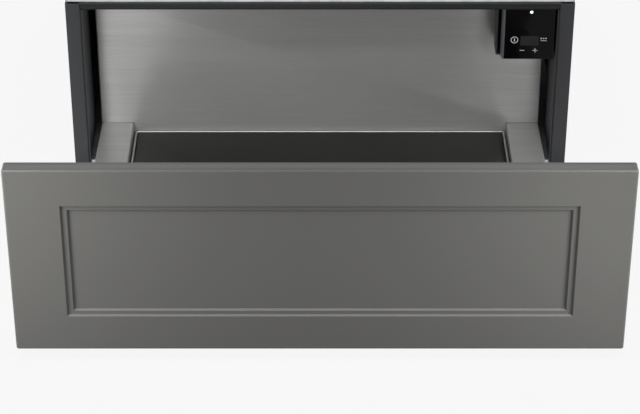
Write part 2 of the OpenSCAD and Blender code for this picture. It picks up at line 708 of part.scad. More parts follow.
module casing_screws() color([0.75, 0.75, 0.76]) place() {
    for (s = [1, -1], y = [150, 350, 530]) on_side(s)
        translate([side_out_x, y, base_top + 7]) rotate([0, 90, 0]) pan_screw(head_h = 1.5);
    for (x = [-300, -100, 100, 300], z = [foot_h + 8, casing_top - 8])
        translate([x, casing_d, z]) rotate([-90, 0, 0]) pan_screw(head_h = 1.5, shank = 1);
}

// Rubber foot: a tapered disc with a groove round it and a hollow for the screw's head below
module feet() color([0.12, 0.12, 0.12]) place()
    for (s = [-1, 1], y = foot_y) translate([s * foot_x, y, 0]) difference() {
        rotate_extrude($fn = round_fn) polygon([
            [0, 0], [foot_r - 2.5, 0], [foot_r - 1.6, 0.9], [foot_r - 1.2, 8], [foot_r - 2.2, 8.8],
            [foot_r - 2.2, 10.4], [foot_r, 11.2], [foot_r, foot_h], [0, foot_h]]);
        translate([0, 0, -1]) cylinder(h = foot_h + 2, r = foot_hole_r, $fn = small_fn);
        translate([0, 0, -1]) cylinder(h = 5, r = 5.2, $fn = small_fn);
    }

// ---------- control unit ----------

module control_bracket() color([0.6, 0.61, 0.62]) place() {
    z0 = touch_top + 0.3;
    z1 = casing_top - sheet - eps;
    x = [unit_x + 8, unit_x + 58];
    box([x[0], 20, z0], [x[1], unit_d - 4, z0 + 1.5]);
    box([x[0], 20, z1 - 1.5], [x[1], unit_d - 4, z1]);
    box([x[0], 30, z0], [x[1], 31.5, z1]);
}

module control_housing() color([0.09, 0.09, 0.1]) place() difference() {
    upright(touch_z, touch_top) round_rect([unit_x, carrier_back_y], [touch_x + touch_w, unit_d], 2.5);
    upright(touch_z + 1.8, touch_top - 1.8)
        translate([unit_x + 1.8, carrier_back_y - 1]) square([touch_w + 6.7, unit_d - carrier_back_y - 0.8]);
}

module control_carrier() color([0.2, 0.2, 0.2]) place() difference() {
    upright(touch_z - 0.4, touch_top + 0.1) polygon([
        [touch_x - 2, touch_y], [touch_x + touch_w, touch_y], [touch_x + touch_w, carrier_back_y - eps],
        [touch_x - 4.2, carrier_back_y - eps]]);
    // seat of the glass and the space for the board behind it
    box([touch_x - eps, touch_y - 1, touch_z - 1],
        [touch_x + touch_w + 1, touch_y + touch_t + 0.2, touch_top + 1]);
    box([touch_x + 2, touch_y + 1, touch_z + 3], [touch_x + touch_w - 2, carrier_back_y + 1, touch_top - 3]);
}

module control_board() color([0.1, 0.3, 0.16]) place() {
    box([touch_x + 3, touch_y + touch_t + 2.4, touch_z + 4],
        [touch_x + touch_w - 3, touch_y + touch_t + 4, touch_top - 4]);
    // carrier block of the display and the driver chips
    box([display_x, touch_y + touch_t + 0.6, display_z],
        [display_x + display_w, touch_y + touch_t + 2.4, display_z + display_h]);
    for (p = [[12, 48], [40, 50]])
        box([touch_x + p[0], touch_y + touch_t + 4, touch_z + p[1]],
            [touch_x + p[0] + 14, touch_y + touch_t + 6, touch_z + p[1] + 9]);
}

module touch_glass() color([0.03, 0.03, 0.035]) place() difference() {
    along_y(touch_y, touch_y + touch_t) round_rect([touch_x, touch_z], [touch_x + touch_w, touch_top], 1);
    box([display_x, touch_y - 1, display_z], [display_x + display_w, touch_y + 0.5, display_z + display_h]);
    translate([lamp_x, touch_y - 1, lamp_z]) rotate([-90, 0, 0])
        cylinder(h = 2, r = lamp_r + 0.1, $fn = small_fn);
}

module display() color([0.16, 0.16, 0.17]) place()
    box([display_x + 0.1, touch_y + 0.05, display_z + 0.1],
        [display_x + display_w - 0.1, touch_y + 0.5, display_z + display_h - 0.1]);

module status_lamp() color([0.95, 0.97, 1]) place()
    translate([lamp_x, touch_y, lamp_z]) rotate([-90, 0, 0]) cylinder(h = 1, r = lamp_r, $fn = small_fn);

// ---------- power supply ----------

module power_box() color([0.62, 0.64, 0.65]) place() {
    y0 = rear_y - box_depth;
    y1 = rear_y - 1.3;
    difference() {
        box([box_x[0], y0, box_z[0]], [box_x[1], y1, box_z[1]]);
        box([box_x[0] + 1, y0 + 1, box_z[0] + 1], [box_x[1] - 1, y1 + 1, box_z[1] - 1]);
        for (x = [box_x[0] + 20:10:box_x[1] - 16]) translate([x, y0 - 1, box_z[1] - 22])
            rotate([-90, 0, 0]) linear_extrude(4) rotate(90) slot(20, 3);
        translate([box_x[0] + 24, rear_y - 12, box_z[0] - 1]) cylinder(h = 4, r = 4, $fn = small_fn);
        translate([box_x[1] - 3, rear_y - 12, box_z[1] - 14]) rotate([0, 90, 0])
            cylinder(h = 6, r = 3, $fn = small_fn);
    }
    for (x = [box_x[0] - 9, box_x[1]]) box([x, y1 - 1, box_z[0] + 20], [x + 9, y1, box_z[1] - 20]);
}

module power_board() color([0.12, 0.33, 0.2]) place() {
    y0 = rear_y - 9;
    box([box_x[0] + 5, y0, box_z[0] + 5], [box_x[1] - 5, y0 + 1.6, box_z[1] - 5]);
    // transformer, relay, capacitor and terminal block stand on the front side
    box([box_x[0] + 70, y0 - 18, box_z[0] + 40], [box_x[0] + 98, y0, box_z[0] + 64]);
    box([box_x[0] + 34, y0 - 14, box_z[0] + 44], [box_x[0] + 52, y0, box_z[0] + 66]);
    translate([box_x[0] + 112, y0 + 0.5, box_z[0] + 52]) rotate([90, 0, 0])
        cylinder(h = 17, r = 6, $fn = small_fn);
    box([box_x[0] + 90, y0 - 12, box_z[0] + 8], [box_x[0] + 124, y0, box_z[0] + 20]);
}

module mains_inlet() color([0.08, 0.08, 0.08]) place()
    translate([-195, casing_d, 70]) rotate([-90, 0, 0]) difference() {
        union() {
            cylinder(h = inlet_flange, r = 13, $fn = round_fn);
            translate([0, 0, -8]) cylinder(h = 8, r = 8.8, $fn = round_fn);
        }
        translate([0, 0, -10]) cylinder(h = 20, r = 5.5, $fn = round_fn);
    }

// Flat lead on the casing floor, from under the power box to the grommet of the open drawer
module heater_lead() color([0.85, 0.85, 0.83]) place() {
    x = grommet_at[0];
    w = 9;
    z0 = base_top;
    x2 = box_x[0] + 24;
    box([x - w / 2, grommet_at[1] - 4, z0], [x + w / 2, 500, z0 + 2]);
    box([x2 - w / 2, 491, z0], [x + w / 2, 500, z0 + 2]);
    box([x2 - w / 2, 491, z0], [x2 + w / 2, rear_y - 8, z0 + 2]);
    box([x2 - 3, rear_y - 14, z0], [x2 + 3, rear_y - 11, box_z[0] + 4]);
}

// Round lead under the top sheet, from the power box to the control unit
module control_lead() color([0.12, 0.12, 0.12]) place() {
    r = 2;
    z = casing_top - sheet - 6.2;
    y_back = rear_y - 12;
    x_run = opening_x - 18;
    x_box = box_x[1] + 14;
    translate([box_x[1] - 4, y_back, box_z[1] - 14]) rotate([0, 90, 0])
        cylinder(h = 18, r = r, $fn = small_fn);
    translate([x_box, y_back, box_z[1] - 14]) sphere(r, $fn = small_fn);
    translate([x_box, y_back, box_z[1] - 14]) cylinder(h = z - box_z[1] + 14, r = r, $fn = small_fn);
    translate([x_box, y_back, z]) sphere(r, $fn = small_fn);
    translate([x_box, y_back, z]) rotate([0, 90, 0]) cylinder(h = x_run - x_box, r = r, $fn = small_fn);
    translate([x_run, y_back, z]) sphere(r, $fn = small_fn);
    translate([x_run, unit_d - 10, z]) rotate([-90, 0, 0])
        cylinder(h = y_back - unit_d + 10, r = r, $fn = small_fn);
    translate([x_run, unit_d - 10, z]) sphere(r, $fn = small_fn);
    translate([x_run, unit_d - 10, touch_top]) cylinder(h = z - touch_top, r = r, $fn = small_fn);
}

// ---------- push latch ----------

module latch_body() color([0.3, 0.3, 0.31]) place() {
    translate([0, latch_front_y, latch_z]) rotate([-90, 0, 0]) difference() {
        cylinder(h = 42, r = latch_r, $fn = round_fn);
        translate([0, 0, -1]) cylinder(h = latch_bore + 1, r = plunger_r + 1.1, $fn = round_fn);
    }
    difference() {
        box([-16, latch_front_y + 4, base_top], [16, latch_front_y + 38, latch_z - 5]);
        translate([0, latch_front_y, latch_z]) rotate([-90, 0, 0])
            cylinder(h = 60, r = latch_r - 1, $fn = round_fn);
        for (s = [-1, 1]) translate([s * 12, latch_front_y + 21, base_top - 1])
            cylinder(h = 12, r = 1.8, $fn = small_fn);
    }
}

module latch_plunger() color([0.85, 0.85, 0.84]) place()
    translate([0, plunger_tip_y, latch_z]) rotate([-90, 0, 0]) difference() {
        union() {
            cylinder(h = 1.2, r1 = plunger_r - 1, r2 = plunger_r, $fn = round_fn);
            translate([0, 0, 1.2]) cylinder(h = plunger_len - 1.2, r = plunger_r, $fn = round_fn);
            translate([0, 0, 12]) cylinder(h = 2, r = plunger_r + 1, $fn = round_fn);
        }
        translate([0, 0, 5]) cylinder(h = plunger_len, r = spring_r + 0.9, $fn = round_fn);
    }

// Coil spring inside the hollow plunger: a round wire carried along a helix
module latch_spring() color([0.75, 0.75, 0.77]) place() {
    steps = 14;
    sides = 6;
    turns = 7;
    count = steps * turns;
    start = plunger_tip_y + 5 + push_travel + 0.8;
    rise = (latch_front_y + latch_bore - 0.6 - start) / count;
    rings = [for (i = [0:count], k = [0:sides - 1])
        let (a = 360 * i / steps, b = 360 * k / sides, r = spring_r + wire_r * cos(b))
        [r * cos(a), start + rise * i + wire_r * sin(b), latch_z + r * sin(a)]];
    walls = [for (i = [0:count - 1], k = [0:sides - 1])
        let (n = (k + 1) % sides)
        [i * sides + k, i * sides + n, (i + 1) * sides + n, (i + 1) * sides + k]];
    polyhedron(rings, concat(walls, [[for (k = [0:sides - 1]) sides - 1 - k]],
        [[for (k = [0:sides - 1]) count * sides + k]]));
}

drawer_front();
front_inner_panel();
front_insulation();
front_buffers();
front_bracket(-1);  // front_bracket_left
front_bracket(1);  // front_bracket_right
drawer_tray();
rim(-1);  // rim_left
rim(1);  // rim_right
back_wall();
back_bracket(-1);  // back_bracket_left
back_bracket(1);  // back_bracket_right
warming_glass();
glass_trim();
heater_plate();
heater_track();
insulation_mat();
temperature_sensor();
safety_thermostat();
lead_grommet();
drawer_screws();
runner_inner(-1);  // runner_inner_left
runner_inner(1);  // runner_inner_right
runner_middle(-1);  // runner_middle_left
runner_middle(1);  // runner_middle_right
runner_outer(-1);  // runner_outer_left
runner_outer(1);  // runner_outer_right
inner_ball_cage(-1);  // inner_ball_cage_left
inner_ball_cage(1);  // inner_ball_cage_right
outer_ball_cage(-1);  // outer_ball_cage_left
outer_ball_cage(1);  // outer_ball_cage_right
runner_bracket(-1);  // runner_bracket_left
runner_bracket(1);  // runner_bracket_right
casing_base();
casing_side(-1);  // casing_side_left
casing_side(1);  // casing_side_right
casing_top();
casing_back();
front_post(-1);  // front_post_left
front_post(1);  // front_post_right
front_rail();
front_seal();
casing_screws();
feet();
control_bracket();
control_housing();
control_carrier();
control_board();
touch_glass();
display();
status_lamp();
power_box();
power_board();
mains_inlet();
heater_lead();
control_lead();
latch_body();
latch_spring();
latch_plunger();
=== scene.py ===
import json
import math

import bmesh
import bpy
import numpy as np
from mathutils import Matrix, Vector


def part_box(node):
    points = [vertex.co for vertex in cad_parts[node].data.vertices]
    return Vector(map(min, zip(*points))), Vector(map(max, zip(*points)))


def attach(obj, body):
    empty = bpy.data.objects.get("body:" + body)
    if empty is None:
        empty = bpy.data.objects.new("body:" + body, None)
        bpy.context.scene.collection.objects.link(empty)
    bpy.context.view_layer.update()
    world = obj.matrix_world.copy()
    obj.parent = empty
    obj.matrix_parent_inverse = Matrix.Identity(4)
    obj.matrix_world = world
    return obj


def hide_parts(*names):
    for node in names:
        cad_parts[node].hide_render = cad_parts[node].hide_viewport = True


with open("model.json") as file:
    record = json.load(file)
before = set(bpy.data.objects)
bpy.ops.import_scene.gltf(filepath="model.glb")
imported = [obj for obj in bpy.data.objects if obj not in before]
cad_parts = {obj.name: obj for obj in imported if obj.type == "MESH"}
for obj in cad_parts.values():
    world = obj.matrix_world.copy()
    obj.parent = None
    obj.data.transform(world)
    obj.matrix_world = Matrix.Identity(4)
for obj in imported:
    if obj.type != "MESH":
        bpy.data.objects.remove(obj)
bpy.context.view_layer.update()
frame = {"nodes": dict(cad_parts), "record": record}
nodes = frame["nodes"]
slotOf = {s["node"]: s["material_slot"] for s in frame["record"]["subparts"]}
bodyOf = {n: b for b, members in frame["record"]["behaviour"]["bodies"].items() for n in members}
mm = 0.001
nearCorner = 0.15 * mm  # how far from a corner a holding point stands


def corners(node):
    # a node's lowest and highest corner as arrays, in metres
    lo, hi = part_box(node)
    return np.array(lo), np.array(hi)


def middleOf(node):
    # centre and half size of a node's box
    lo, hi = corners(node)
    return (lo + hi) / 2, (hi - lo) / 2


def unit(vectors):
    # each vector divided by its length
    return vectors / np.maximum(np.linalg.norm(vectors, axis=-1, keepdims=True), 1e-12)


# Flat outlines are (n, 2) arrays that run anticlockwise.

def roundRect(halfW, halfH, radius, steps=6):
    # four quarter circles about the corner centres
    radius = max(min(radius, halfW, halfH), 1e-6)
    turn = np.linspace(0, math.pi / 2, steps + 1)
    arc = radius * np.stack([np.cos(turn), np.sin(turn)], 1)
    parts = []
    for k, (sx, sy) in enumerate([(1, 1), (-1, 1), (-1, -1), (1, -1)]):
        c, s = round(math.cos(k * math.pi / 2)), round(math.sin(k * math.pi / 2))
        spun = arc @ np.array([[c, s], [-s, c]])
        parts.append(spun + [sx * (halfW - radius), sy * (halfH - radius)])
    return np.concatenate(parts)


def circle(radius, count=32):
    # equal steps of the turn, as cosine and sine
    turn = np.linspace(0, 2 * math.pi, count, endpoint=False)
    return radius * np.stack([np.cos(turn), np.sin(turn)], 1)


def filleted(path, radius, steps=5):
    # a line of straight runs with an arc of the given radius at each bend, in two or three dimensions
    path = np.asarray(path, float)
    out = [path[:1]]
    for before, here, after in zip(path[:-2], path[1:-1], path[2:]):
        a, b = unit(here - before), unit(after - here)
        bend = math.acos(np.clip(a @ b, -1, 1))
        if bend < 1e-3:
            out.append(here[None])
            continue
        inward, along = unit(b - a), unit(a + b)
        centre = here + inward * radius / math.cos(bend / 2)
        turn = np.linspace(-bend / 2, bend / 2, steps + 1)[:, None]
        out.append(centre - inward * radius * np.cos(turn) + along * radius * np.sin(turn))
    out.append(path[-1:])
    return np.concatenate(out)


def held(path):
    # every long run gets a point close to both its ends, so that smooth shading leaves its middle flat
    out = []
    for here, after in zip(path[:-1], path[1:]):
        size = np.linalg.norm(after - here)
        out.append(here)
        if size > 4 * nearCorner:
            step = (after - here) * nearCorner / size
            out += [here + step, after - step]
    return np.array(out + [path[-1]])


def stripOutline(path, thick, bend):
    # a sheet of one thickness folded along a path: its two faces are the path's arcs moved sideways
    line = held(filleted(path, bend + thick / 2))
    step = unit(np.diff(line, axis=0))
    mean = unit(np.concatenate([step[:1], step[:-1] + step[1:], step[-1:]]))
    grow = 1 / np.maximum(np.einsum("ij,ij->i", mean, np.concatenate([step, step[-1:]])), 0.3)
    side = np.stack([-mean[:, 1], mean[:, 0]], 1) * grow[:, None] * thick / 2
    return np.concatenate([line - side, (line + side)[::-1]])


def inset(outline, amount):
    # every point moves inwards along the mean of its two edges' normals
    edge = unit(np.roll(outline, -1, 0) - outline)
    mean = unit(edge + np.roll(edge, 1, 0))
    grow = 1 / np.maximum(np.einsum("ij,ij->i", mean, edge), 0.35)
    return outline + np.stack([-mean[:, 1], mean[:, 0]], 1) * grow[:, None] * amount


def anticlockwise(outline):
    # the outline is reversed where the sum of its corners' cross products is negative
    x, y = outline.T
    area = (x * np.roll(y, -1) - np.roll(x, -1) * y).sum()
    return outline if area > 0 else outline[::-1]


# Solid shapes are tuples of points, quads and caps.

def skinned(rings, loop=False):
    # quads between rings of equally many points, closed by two caps or by joining the last to the first
    rings = np.asarray(rings, float)
    n, m = rings.shape[:2]
    row, col = np.arange(n if loop else n - 1)[:, None], np.arange(m)[None]
    nextRow, nextCol = (row + 1) % n, (col + 1) % m
    quads = np.stack([row * m + col, row * m + nextCol, nextRow * m + nextCol, nextRow * m + col], -1)
    caps = [] if loop else [np.arange(m)[::-1], (n - 1) * m + np.arange(m)]
    return turnedOut(rings.reshape(-1, 3), quads.reshape(-1, 4), caps)


def turnedOut(points, quads, caps):
    # the signed volume under all faces tells whether they point outwards
    fans = [quads[:, [0, 1, 2]], quads[:, [0, 2, 3]]]
    fans += [np.stack([np.full(len(c) - 2, c[0]), c[1:-1], c[2:]], 1) for c in caps]
    a, b, c = (points[np.concatenate(fans)[:, k]] - points.mean(0) for k in range(3))
    if np.einsum("ij,ij->i", a, np.cross(b, c)).sum() < 0:
        quads, caps = quads[:, ::-1], [cap[::-1] for cap in caps]
    return points, quads, caps


def stood(flat, along, axis):
    # flat points (u, v) at a place along an axis: x takes (y, z), y takes (x, z) and z takes (x, y)
    u, v = flat[..., 0], flat[..., 1]
    w = np.zeros_like(u) + along
    return np.stack({"x": [w, u, v], "y": [u, w, v], "z": [u, v, w]}[axis], -1)


def bar(outline, lo, hi, axis, soft=0.2 * mm):
    # an outline carried straight along an axis, its two ends drawn in by a small chamfer
    outline = anticlockwise(np.asarray(outline, float))
    small = inset(outline, soft)
    levels = [(small, lo), (outline, lo + soft), (outline, hi - soft), (small, hi)]
    return skinned([stood(o, w, axis) for o, w in levels])


def turnedShape(profile, centre, axis="y", count=40, loop=False, wave=1.0):
    # a profile of (radius, place along the axis) turned about it, with two caps or closed like a washer;
    # wave multiplies the radius for each point of the profile and each step of the turn
    profile = np.asarray(profile, float)
    flat = (profile[:, :1] * wave)[..., None] * circle(1, count)
    return skinned(stood(flat, profile[:, 1:], axis) + centre, loop)


def nested(levels, centre, axis="y"):
    # rings of rounded rectangles: each level is (half width, half height, corner radius, place on the axis)
    return np.array([stood(roundRect(w, h, r), d, axis) for w, h, r, d in levels]) + centre


def drawnIn(halfW, halfH, section, corner, least=None):
    # levels for nested: each inset of the section narrows the rectangle and, down to least, its corners
    least = corner if least is None else least
    return [(halfW - i, halfH - i, max(corner - i, least), d) for i, d in section]


def tubeAlong(path, section):
    # a closed section carried along a line in space, turned as little as possible from ring to ring
    path = np.asarray(path, float)
    step = unit(np.gradient(path, axis=0))
    side = np.cross(step[0], [0, 0, 1] if abs(step[0][2]) < 0.9 else [1, 0, 0])
    rings = []
    for place, ahead in zip(path, step):
        side = unit(side - ahead * (side @ ahead))
        up = np.cross(side, ahead)
        rings.append(place + section[:, :1] * side + section[:, 1:] * up)
    return skinned(rings)


def block(lo, hi, soft):
    # a box with chamfered edges
    lo, hi = np.asarray(lo, float), np.asarray(hi, float)
    mid, half = (lo + hi) / 2, (hi - lo) / 2
    rings = [stood(roundRect(half[0] - d, half[1] - d, soft, 1), w, "z")
             for d, w in [(soft, -half[2]), (0, soft - half[2]), (0, half[2] - soft), (soft, half[2])]]
    return skinned(np.array(rings) + mid)


def mirrored(shape):
    # the same shape on the other side of the middle plane
    points, quads, caps = shape
    return points * [-1, 1, 1], quads[:, ::-1], [c[::-1] for c in caps]


# Shapes and CAD nodes become pieces.

materials = {}


def placed(name, data):
    # a new object in the scene
    obj = bpy.data.objects.new(name, data)
    bpy.context.scene.collection.objects.link(obj)
    return obj


def grainMap(obj, grain):
    # a map whose U runs across the brushed lines and V along them, from each face's main direction
    mesh = obj.data

    def read(items, label, size, kind=float):
        values = np.zeros(len(items) * size, kind)
        items.foreach_get(label, values)
        return values

    normals = read(mesh.polygons, "normal", 3).reshape(-1, 3)
    facing = np.repeat(np.abs(normals).argmax(1), read(mesh.polygons, "loop_total", 1, int))
    along = np.where(facing == grain, (grain + 1) % 3, grain)
    across = 3 - facing - along
    place = read(mesh.vertices, "co", 3).reshape(-1, 3)[read(mesh.loops, "vertex_index", 1, int)]
    rows = np.arange(len(place))
    layer = mesh.uv_layers.new(name="grain")
    layer.data.foreach_set("uv", np.stack([place[rows, across], place[rows, along]], 1).ravel())


def finishPiece(name, mesh, node, stands=True, grain=0, bevel=0.0, segments=2, angle=32):
    # smooth shading between sharp edges, an optional live bevel, grain map, body and replaced node
    obj = placed(name, mesh)
    mesh.polygons.foreach_set("use_smooth", np.ones(len(mesh.polygons), bool))
    mesh.set_sharp_from_angle(angle=math.radians(angle))
    grainMap(obj, grain)
    if bevel:
        tool = obj.modifiers.new("edges", "BEVEL")
        tool.width = bevel
        tool.segments = segments
        tool.limit_method = "ANGLE"
        tool.angle_limit = math.radians(angle)
        tool.use_clamp_overlap = False
        tool.harden_normals = True
    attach(obj, bodyOf[node])
    if stands:
        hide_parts(node)
    return obj


def pieceName(node):
    # a node's name in camel case
    first, *rest = node.split("_")
    return first + "".join(w.capitalize() for w in rest)


def makePiece(node, finish, shapes, name="", stands=True, angle=32):
    # the shapes become one mesh, which stands for the node or joins it; finish is a material's name or a
    # list with one for each shape
    finish = [finish] * len(shapes) if isinstance(finish, str) else finish
    used = list(dict.fromkeys(finish))
    points, faces, slots, count = [], [], [], 0
    for (p, quads, caps), material in zip(shapes, finish):
        own = (quads + count).tolist() + [(c + count).tolist() for c in caps]
        faces += own
        slots += [used.index(material)] * len(own)
        points.append(p)
        count += len(p)
    name = name or pieceName(node)
    mesh = bpy.data.meshes.new(name)
    mesh.from_pydata(np.concatenate(points).tolist(), [], faces)
    mesh.polygons.foreach_set("material_index", slots)
    for material in used:
        mesh.materials.append(materials[material])
    mesh.update()
    return finishPiece(name, mesh, node, stands, angle=angle)


def softened(node, material, grain=0, bevel=0.12 * mm, segments=2):
    # a copy of a CAD node with its loose triangles merged, flat faces joined and its edges broken
    mesh = nodes[node].data.copy()
    mesh.name = pieceName(node)
    closeBy, nearlyFlat = 2e-6, math.radians(0.6)
    work = bmesh.new()
    work.from_mesh(mesh)
    bmesh.ops.remove_doubles(work, verts=work.verts, dist=closeBy)
    buried = [f for f in work.faces if sum(len(e.link_faces) > 2 for e in f.edges) > 1]
    bmesh.ops.delete(work, geom=buried, context="FACES")
    bmesh.ops.dissolve_degenerate(work, edges=work.edges, dist=closeBy)
    bmesh.ops.dissolve_limit(work, angle_limit=nearlyFlat, verts=work.verts, edges=work.edges)
    work.to_mesh(mesh)
    work.free()
    mesh.materials.clear()
    mesh.materials.append(materials[material])
    finishPiece(pieceName(node), mesh, node, True, grain, bevel, segments)


# Shader nodes and materials.

def plug(tree, socket, value):
    # an output is linked, a colour gets its fourth value and anything else is written as it is
    if isinstance(value, bpy.types.NodeSocket):
        tree.links.new(value, socket)
    else:
        socket.default_value = (*value, 1) if socket.type == "RGBA" else value


def feed(tree, node, **values):
    # inputs by name, with an underscore for each space
    for label, value in values.items():
        plug(tree, node.inputs[label.replace("_", " ")], value)


def addNode(tree, kind, *first, **values):
    # the first inputs in their order, then settings and, with a capital letter, inputs by name
    made = tree.nodes.new("ShaderNode" + kind)
    for label, value in values.items():
        if label[0].islower():
            setattr(made, label, value)
        else:
            feed(tree, made, **{label: value})
    for socket, value in zip(made.inputs, first):
        plug(tree, socket, value)
    return made


def mathNode(tree, operation, a, b, clamp=False):
    return addNode(tree, "Math", a, b, operation=operation, use_clamp=clamp).outputs[0]


def times(tree, a, b, clamp=False):
    return mathNode(tree, "MULTIPLY", a, b, clamp)


def shared(tree, a, b, share):
    # a by its share and b by the rest
    return mathNode(tree, "ADD", times(tree, a, share), times(tree, b, 1 - share))


def ranged(tree, value, lo, hi, fromLo=0.3, fromHi=0.7):
    # noise lies mostly between 0.3 and 0.7, and is spread from lo to hi
    return addNode(tree, "MapRange", value, fromLo, fromHi, lo, hi).outputs[0]


def noiseAt(tree, vector, scale, detail=2.0, rough=0.5):
    made = addNode(tree, "TexNoise", Vector=vector, Scale=scale, Detail=detail, Roughness=rough)
    return made.outputs["Fac"]


def stretched(tree, vector, stretch):
    return addNode(tree, "VectorMath", vector, stretch, operation="MULTIPLY").outputs[0]


def blendColours(tree, factor, first, second):
    made = addNode(tree, "Mix", factor, data_type="RGBA")
    for socket, colour in zip(made.inputs[6:8], (first, second)):  # its two colour inputs
        plug(tree, socket, colour)
    return made.outputs[2]


def bump(tree, height, distance, strength):
    return addNode(tree, "Bump", Strength=strength, Distance=distance, Height=height).outputs[0]


def scaled(colour, factor):
    return tuple(min(1.0, c * factor) for c in colour)


def makeGroup(name, inputs, outputs):
    # every group takes a vector and one more value, whose name, kind and first value are given
    tree = bpy.data.node_groups.new(name, "ShaderNodeTree")
    for label, kind, value in [("Vector", "Vector", (0, 0, 0)), inputs]:
        made = tree.interface.new_socket(label, in_out="INPUT", socket_type="NodeSocket" + kind)
        made.default_value = value
    for label in outputs:
        tree.interface.new_socket(label, in_out="OUTPUT", socket_type="NodeSocketFloat")
    return tree, tree.nodes.new("NodeGroupInput").outputs, tree.nodes.new("NodeGroupOutput")


def linesGroup():
    # brushed or drawn lines: noise squeezed across the line direction, fine and coarse, with soft bands
    tree, given, out = makeGroup("drawnLines", ("Stretch", "Vector", (5, 900, 900)), ["Fine", "Streaks"])
    squeezed = stretched(tree, given["Vector"], given["Stretch"])
    coarse = noiseAt(tree, squeezed, 0.55, 4, 0.6)
    bands = noiseAt(tree, squeezed, 0.09)
    feed(tree, out, Fine=noiseAt(tree, squeezed, 3.2, 3, 0.65), Streaks=shared(tree, coarse, bands, 0.65))
    return tree


def patchesGroup():
    # uneven patches at two sizes, for slow changes of gloss and tone
    tree, given, out = makeGroup("patches", ("Size", "Float", 6.0), ["Patches", "Specks"])
    for label, factor, detail in [("Patches", 1.0, 3.0), ("Specks", 40.0, 2.0)]:
        size = times(tree, given["Size"], factor)
        feed(tree, out, **{label: noiseAt(tree, given["Vector"], size, detail)})
    return tree


def dustGroup():
    # a thin film where a face looks up, broken by noise
    tree, given, out = makeGroup("settledDust", ("Amount", "Float", 0.3), ["Mask"])
    parts = addNode(tree, "SeparateXYZ", addNode(tree, "NewGeometry").outputs["Normal"])
    up = ranged(tree, parts.outputs["Z"], 0.0, 1.0, 0.55, 1.0)
    cloud = noiseAt(tree, given["Vector"], 9.0, 6, 0.6)
    grit = noiseAt(tree, given["Vector"], 420.0)
    broken = mathNode(tree, "SUBTRACT", mathNode(tree, "ADD", cloud, grit), 0.55, True)
    film = times(tree, broken, given["Amount"])
    feed(tree, out, Mask=times(tree, up, film, True))
    return tree


def crystalsGroup():
    # zinc crystals: cells of differing tone with feathered lines inside each
    tree, given, out = makeGroup("zincCrystals", ("Scale", "Float", 55.0), ["Tone", "Feather"])
    warp = addNode(tree, "TexNoise", Vector=given["Vector"], Scale=14.0, Detail=2.0).outputs["Color"]
    shift = addNode(tree, "VectorMath", warp, (0.02, 0.02, 0.02), given["Vector"], operation="MULTIPLY_ADD")
    cells = addNode(tree, "TexVoronoi", Vector=shift.outputs[0], Scale=given["Scale"])
    tone = addNode(tree, "SeparateXYZ", cells.outputs["Color"]).outputs
    angle = times(tree, tone["Y"], 6.28)
    turned = addNode(tree, "VectorRotate", rotation_type="Z_AXIS", Vector=given["Vector"], Angle=angle)
    ribs = stretched(tree, turned.outputs[0], (60, 700, 60))
    feed(tree, out, Tone=tone["X"], Feather=noiseAt(tree, ribs, 1.0))
    return tree


groups = {
    "lines": linesGroup(), "patches": patchesGroup(), "dust": dustGroup(), "crystals": crystalsGroup(),
}


def newMaterial(name):
    mat = bpy.data.materials.new(name)
    mat.use_nodes = True
    materials[name] = mat
    tree = mat.node_tree
    return tree, tree.nodes["Principled BSDF"], addNode(tree, "TexCoord").outputs["Object"]


def useGroup(tree, kind, place, **values):
    return addNode(tree, "Group", node_tree=groups[kind], Vector=place, **values).outputs


def uneven(tree, roughness, place, size, lo, hi):
    # a roughness that drifts from patch to patch
    patches = useGroup(tree, "patches", place, Size=size)["Patches"]
    return mathNode(tree, "ADD", roughness, ranged(tree, patches, lo, hi))


def dusted(tree, place, amount, colour, roughness, dustColour, matting):
    # settled dust pales and dulls what it lies on
    if not amount:
        return colour, roughness
    film = useGroup(tree, "dust", place, Amount=amount)["Mask"]
    dull = mathNode(tree, "ADD", roughness, times(tree, film, matting), True)
    return blendColours(tree, film, colour, dustColour), dull


def brushedSteel(name, light, dark, rough, stretch, anisotropy, lineDepth=0.02, dust=0.0, metal=1.0):
    # lines from stretched noise set tone, gloss and relief; the highlight is drawn out across them
    tree, shader, place = newMaterial(name)
    lines = useGroup(tree, "lines", place, Stretch=stretch)
    mixed = shared(tree, lines["Streaks"], lines["Fine"], 0.6)
    colour = blendColours(tree, ranged(tree, mixed, 0, 1, 0.34, 0.66), dark, light)
    gloss = ranged(tree, mixed, rough * 1.18, rough * 0.84)
    roughness = uneven(tree, gloss, place, 4.0, -0.02, 0.03)
    colour, roughness = dusted(tree, place, dust, colour, roughness, (0.62, 0.6, 0.56), 0.35)
    tangent = addNode(tree, "Tangent", direction_type="UV_MAP", uv_map="grain").outputs[0]
    feed(tree, shader, Base_Color=colour, Roughness=roughness, Metallic=metal, Anisotropic=anisotropy,
         Tangent=tangent, Normal=bump(tree, mixed, lineDepth * mm, 0.6))


def zincSheet(name, light, dark, rough, scale):
    # hot-dipped zinc: each crystal has its own tone and gloss
    tree, shader, place = newMaterial(name)
    crystals = useGroup(tree, "crystals", place, Scale=scale)
    tone = shared(tree, crystals["Tone"], crystals["Feather"], 0.45)
    colour = blendColours(tree, ranged(tree, tone, 0, 1, 0.1, 1.0), dark, light)
    gloss = ranged(tree, tone, rough * 0.8, rough * 1.25, 0.1, 1.0)
    roughness = uneven(tree, gloss, place, 3.0, -0.04, 0.06)
    colour, roughness = dusted(tree, place, 0.25, colour, roughness, (0.55, 0.54, 0.51), 0.3)
    feed(tree, shader, Base_Color=colour, Roughness=roughness, Metallic=0.9,
         Normal=bump(tree, crystals["Feather"], 0.02 * mm, 0.4))


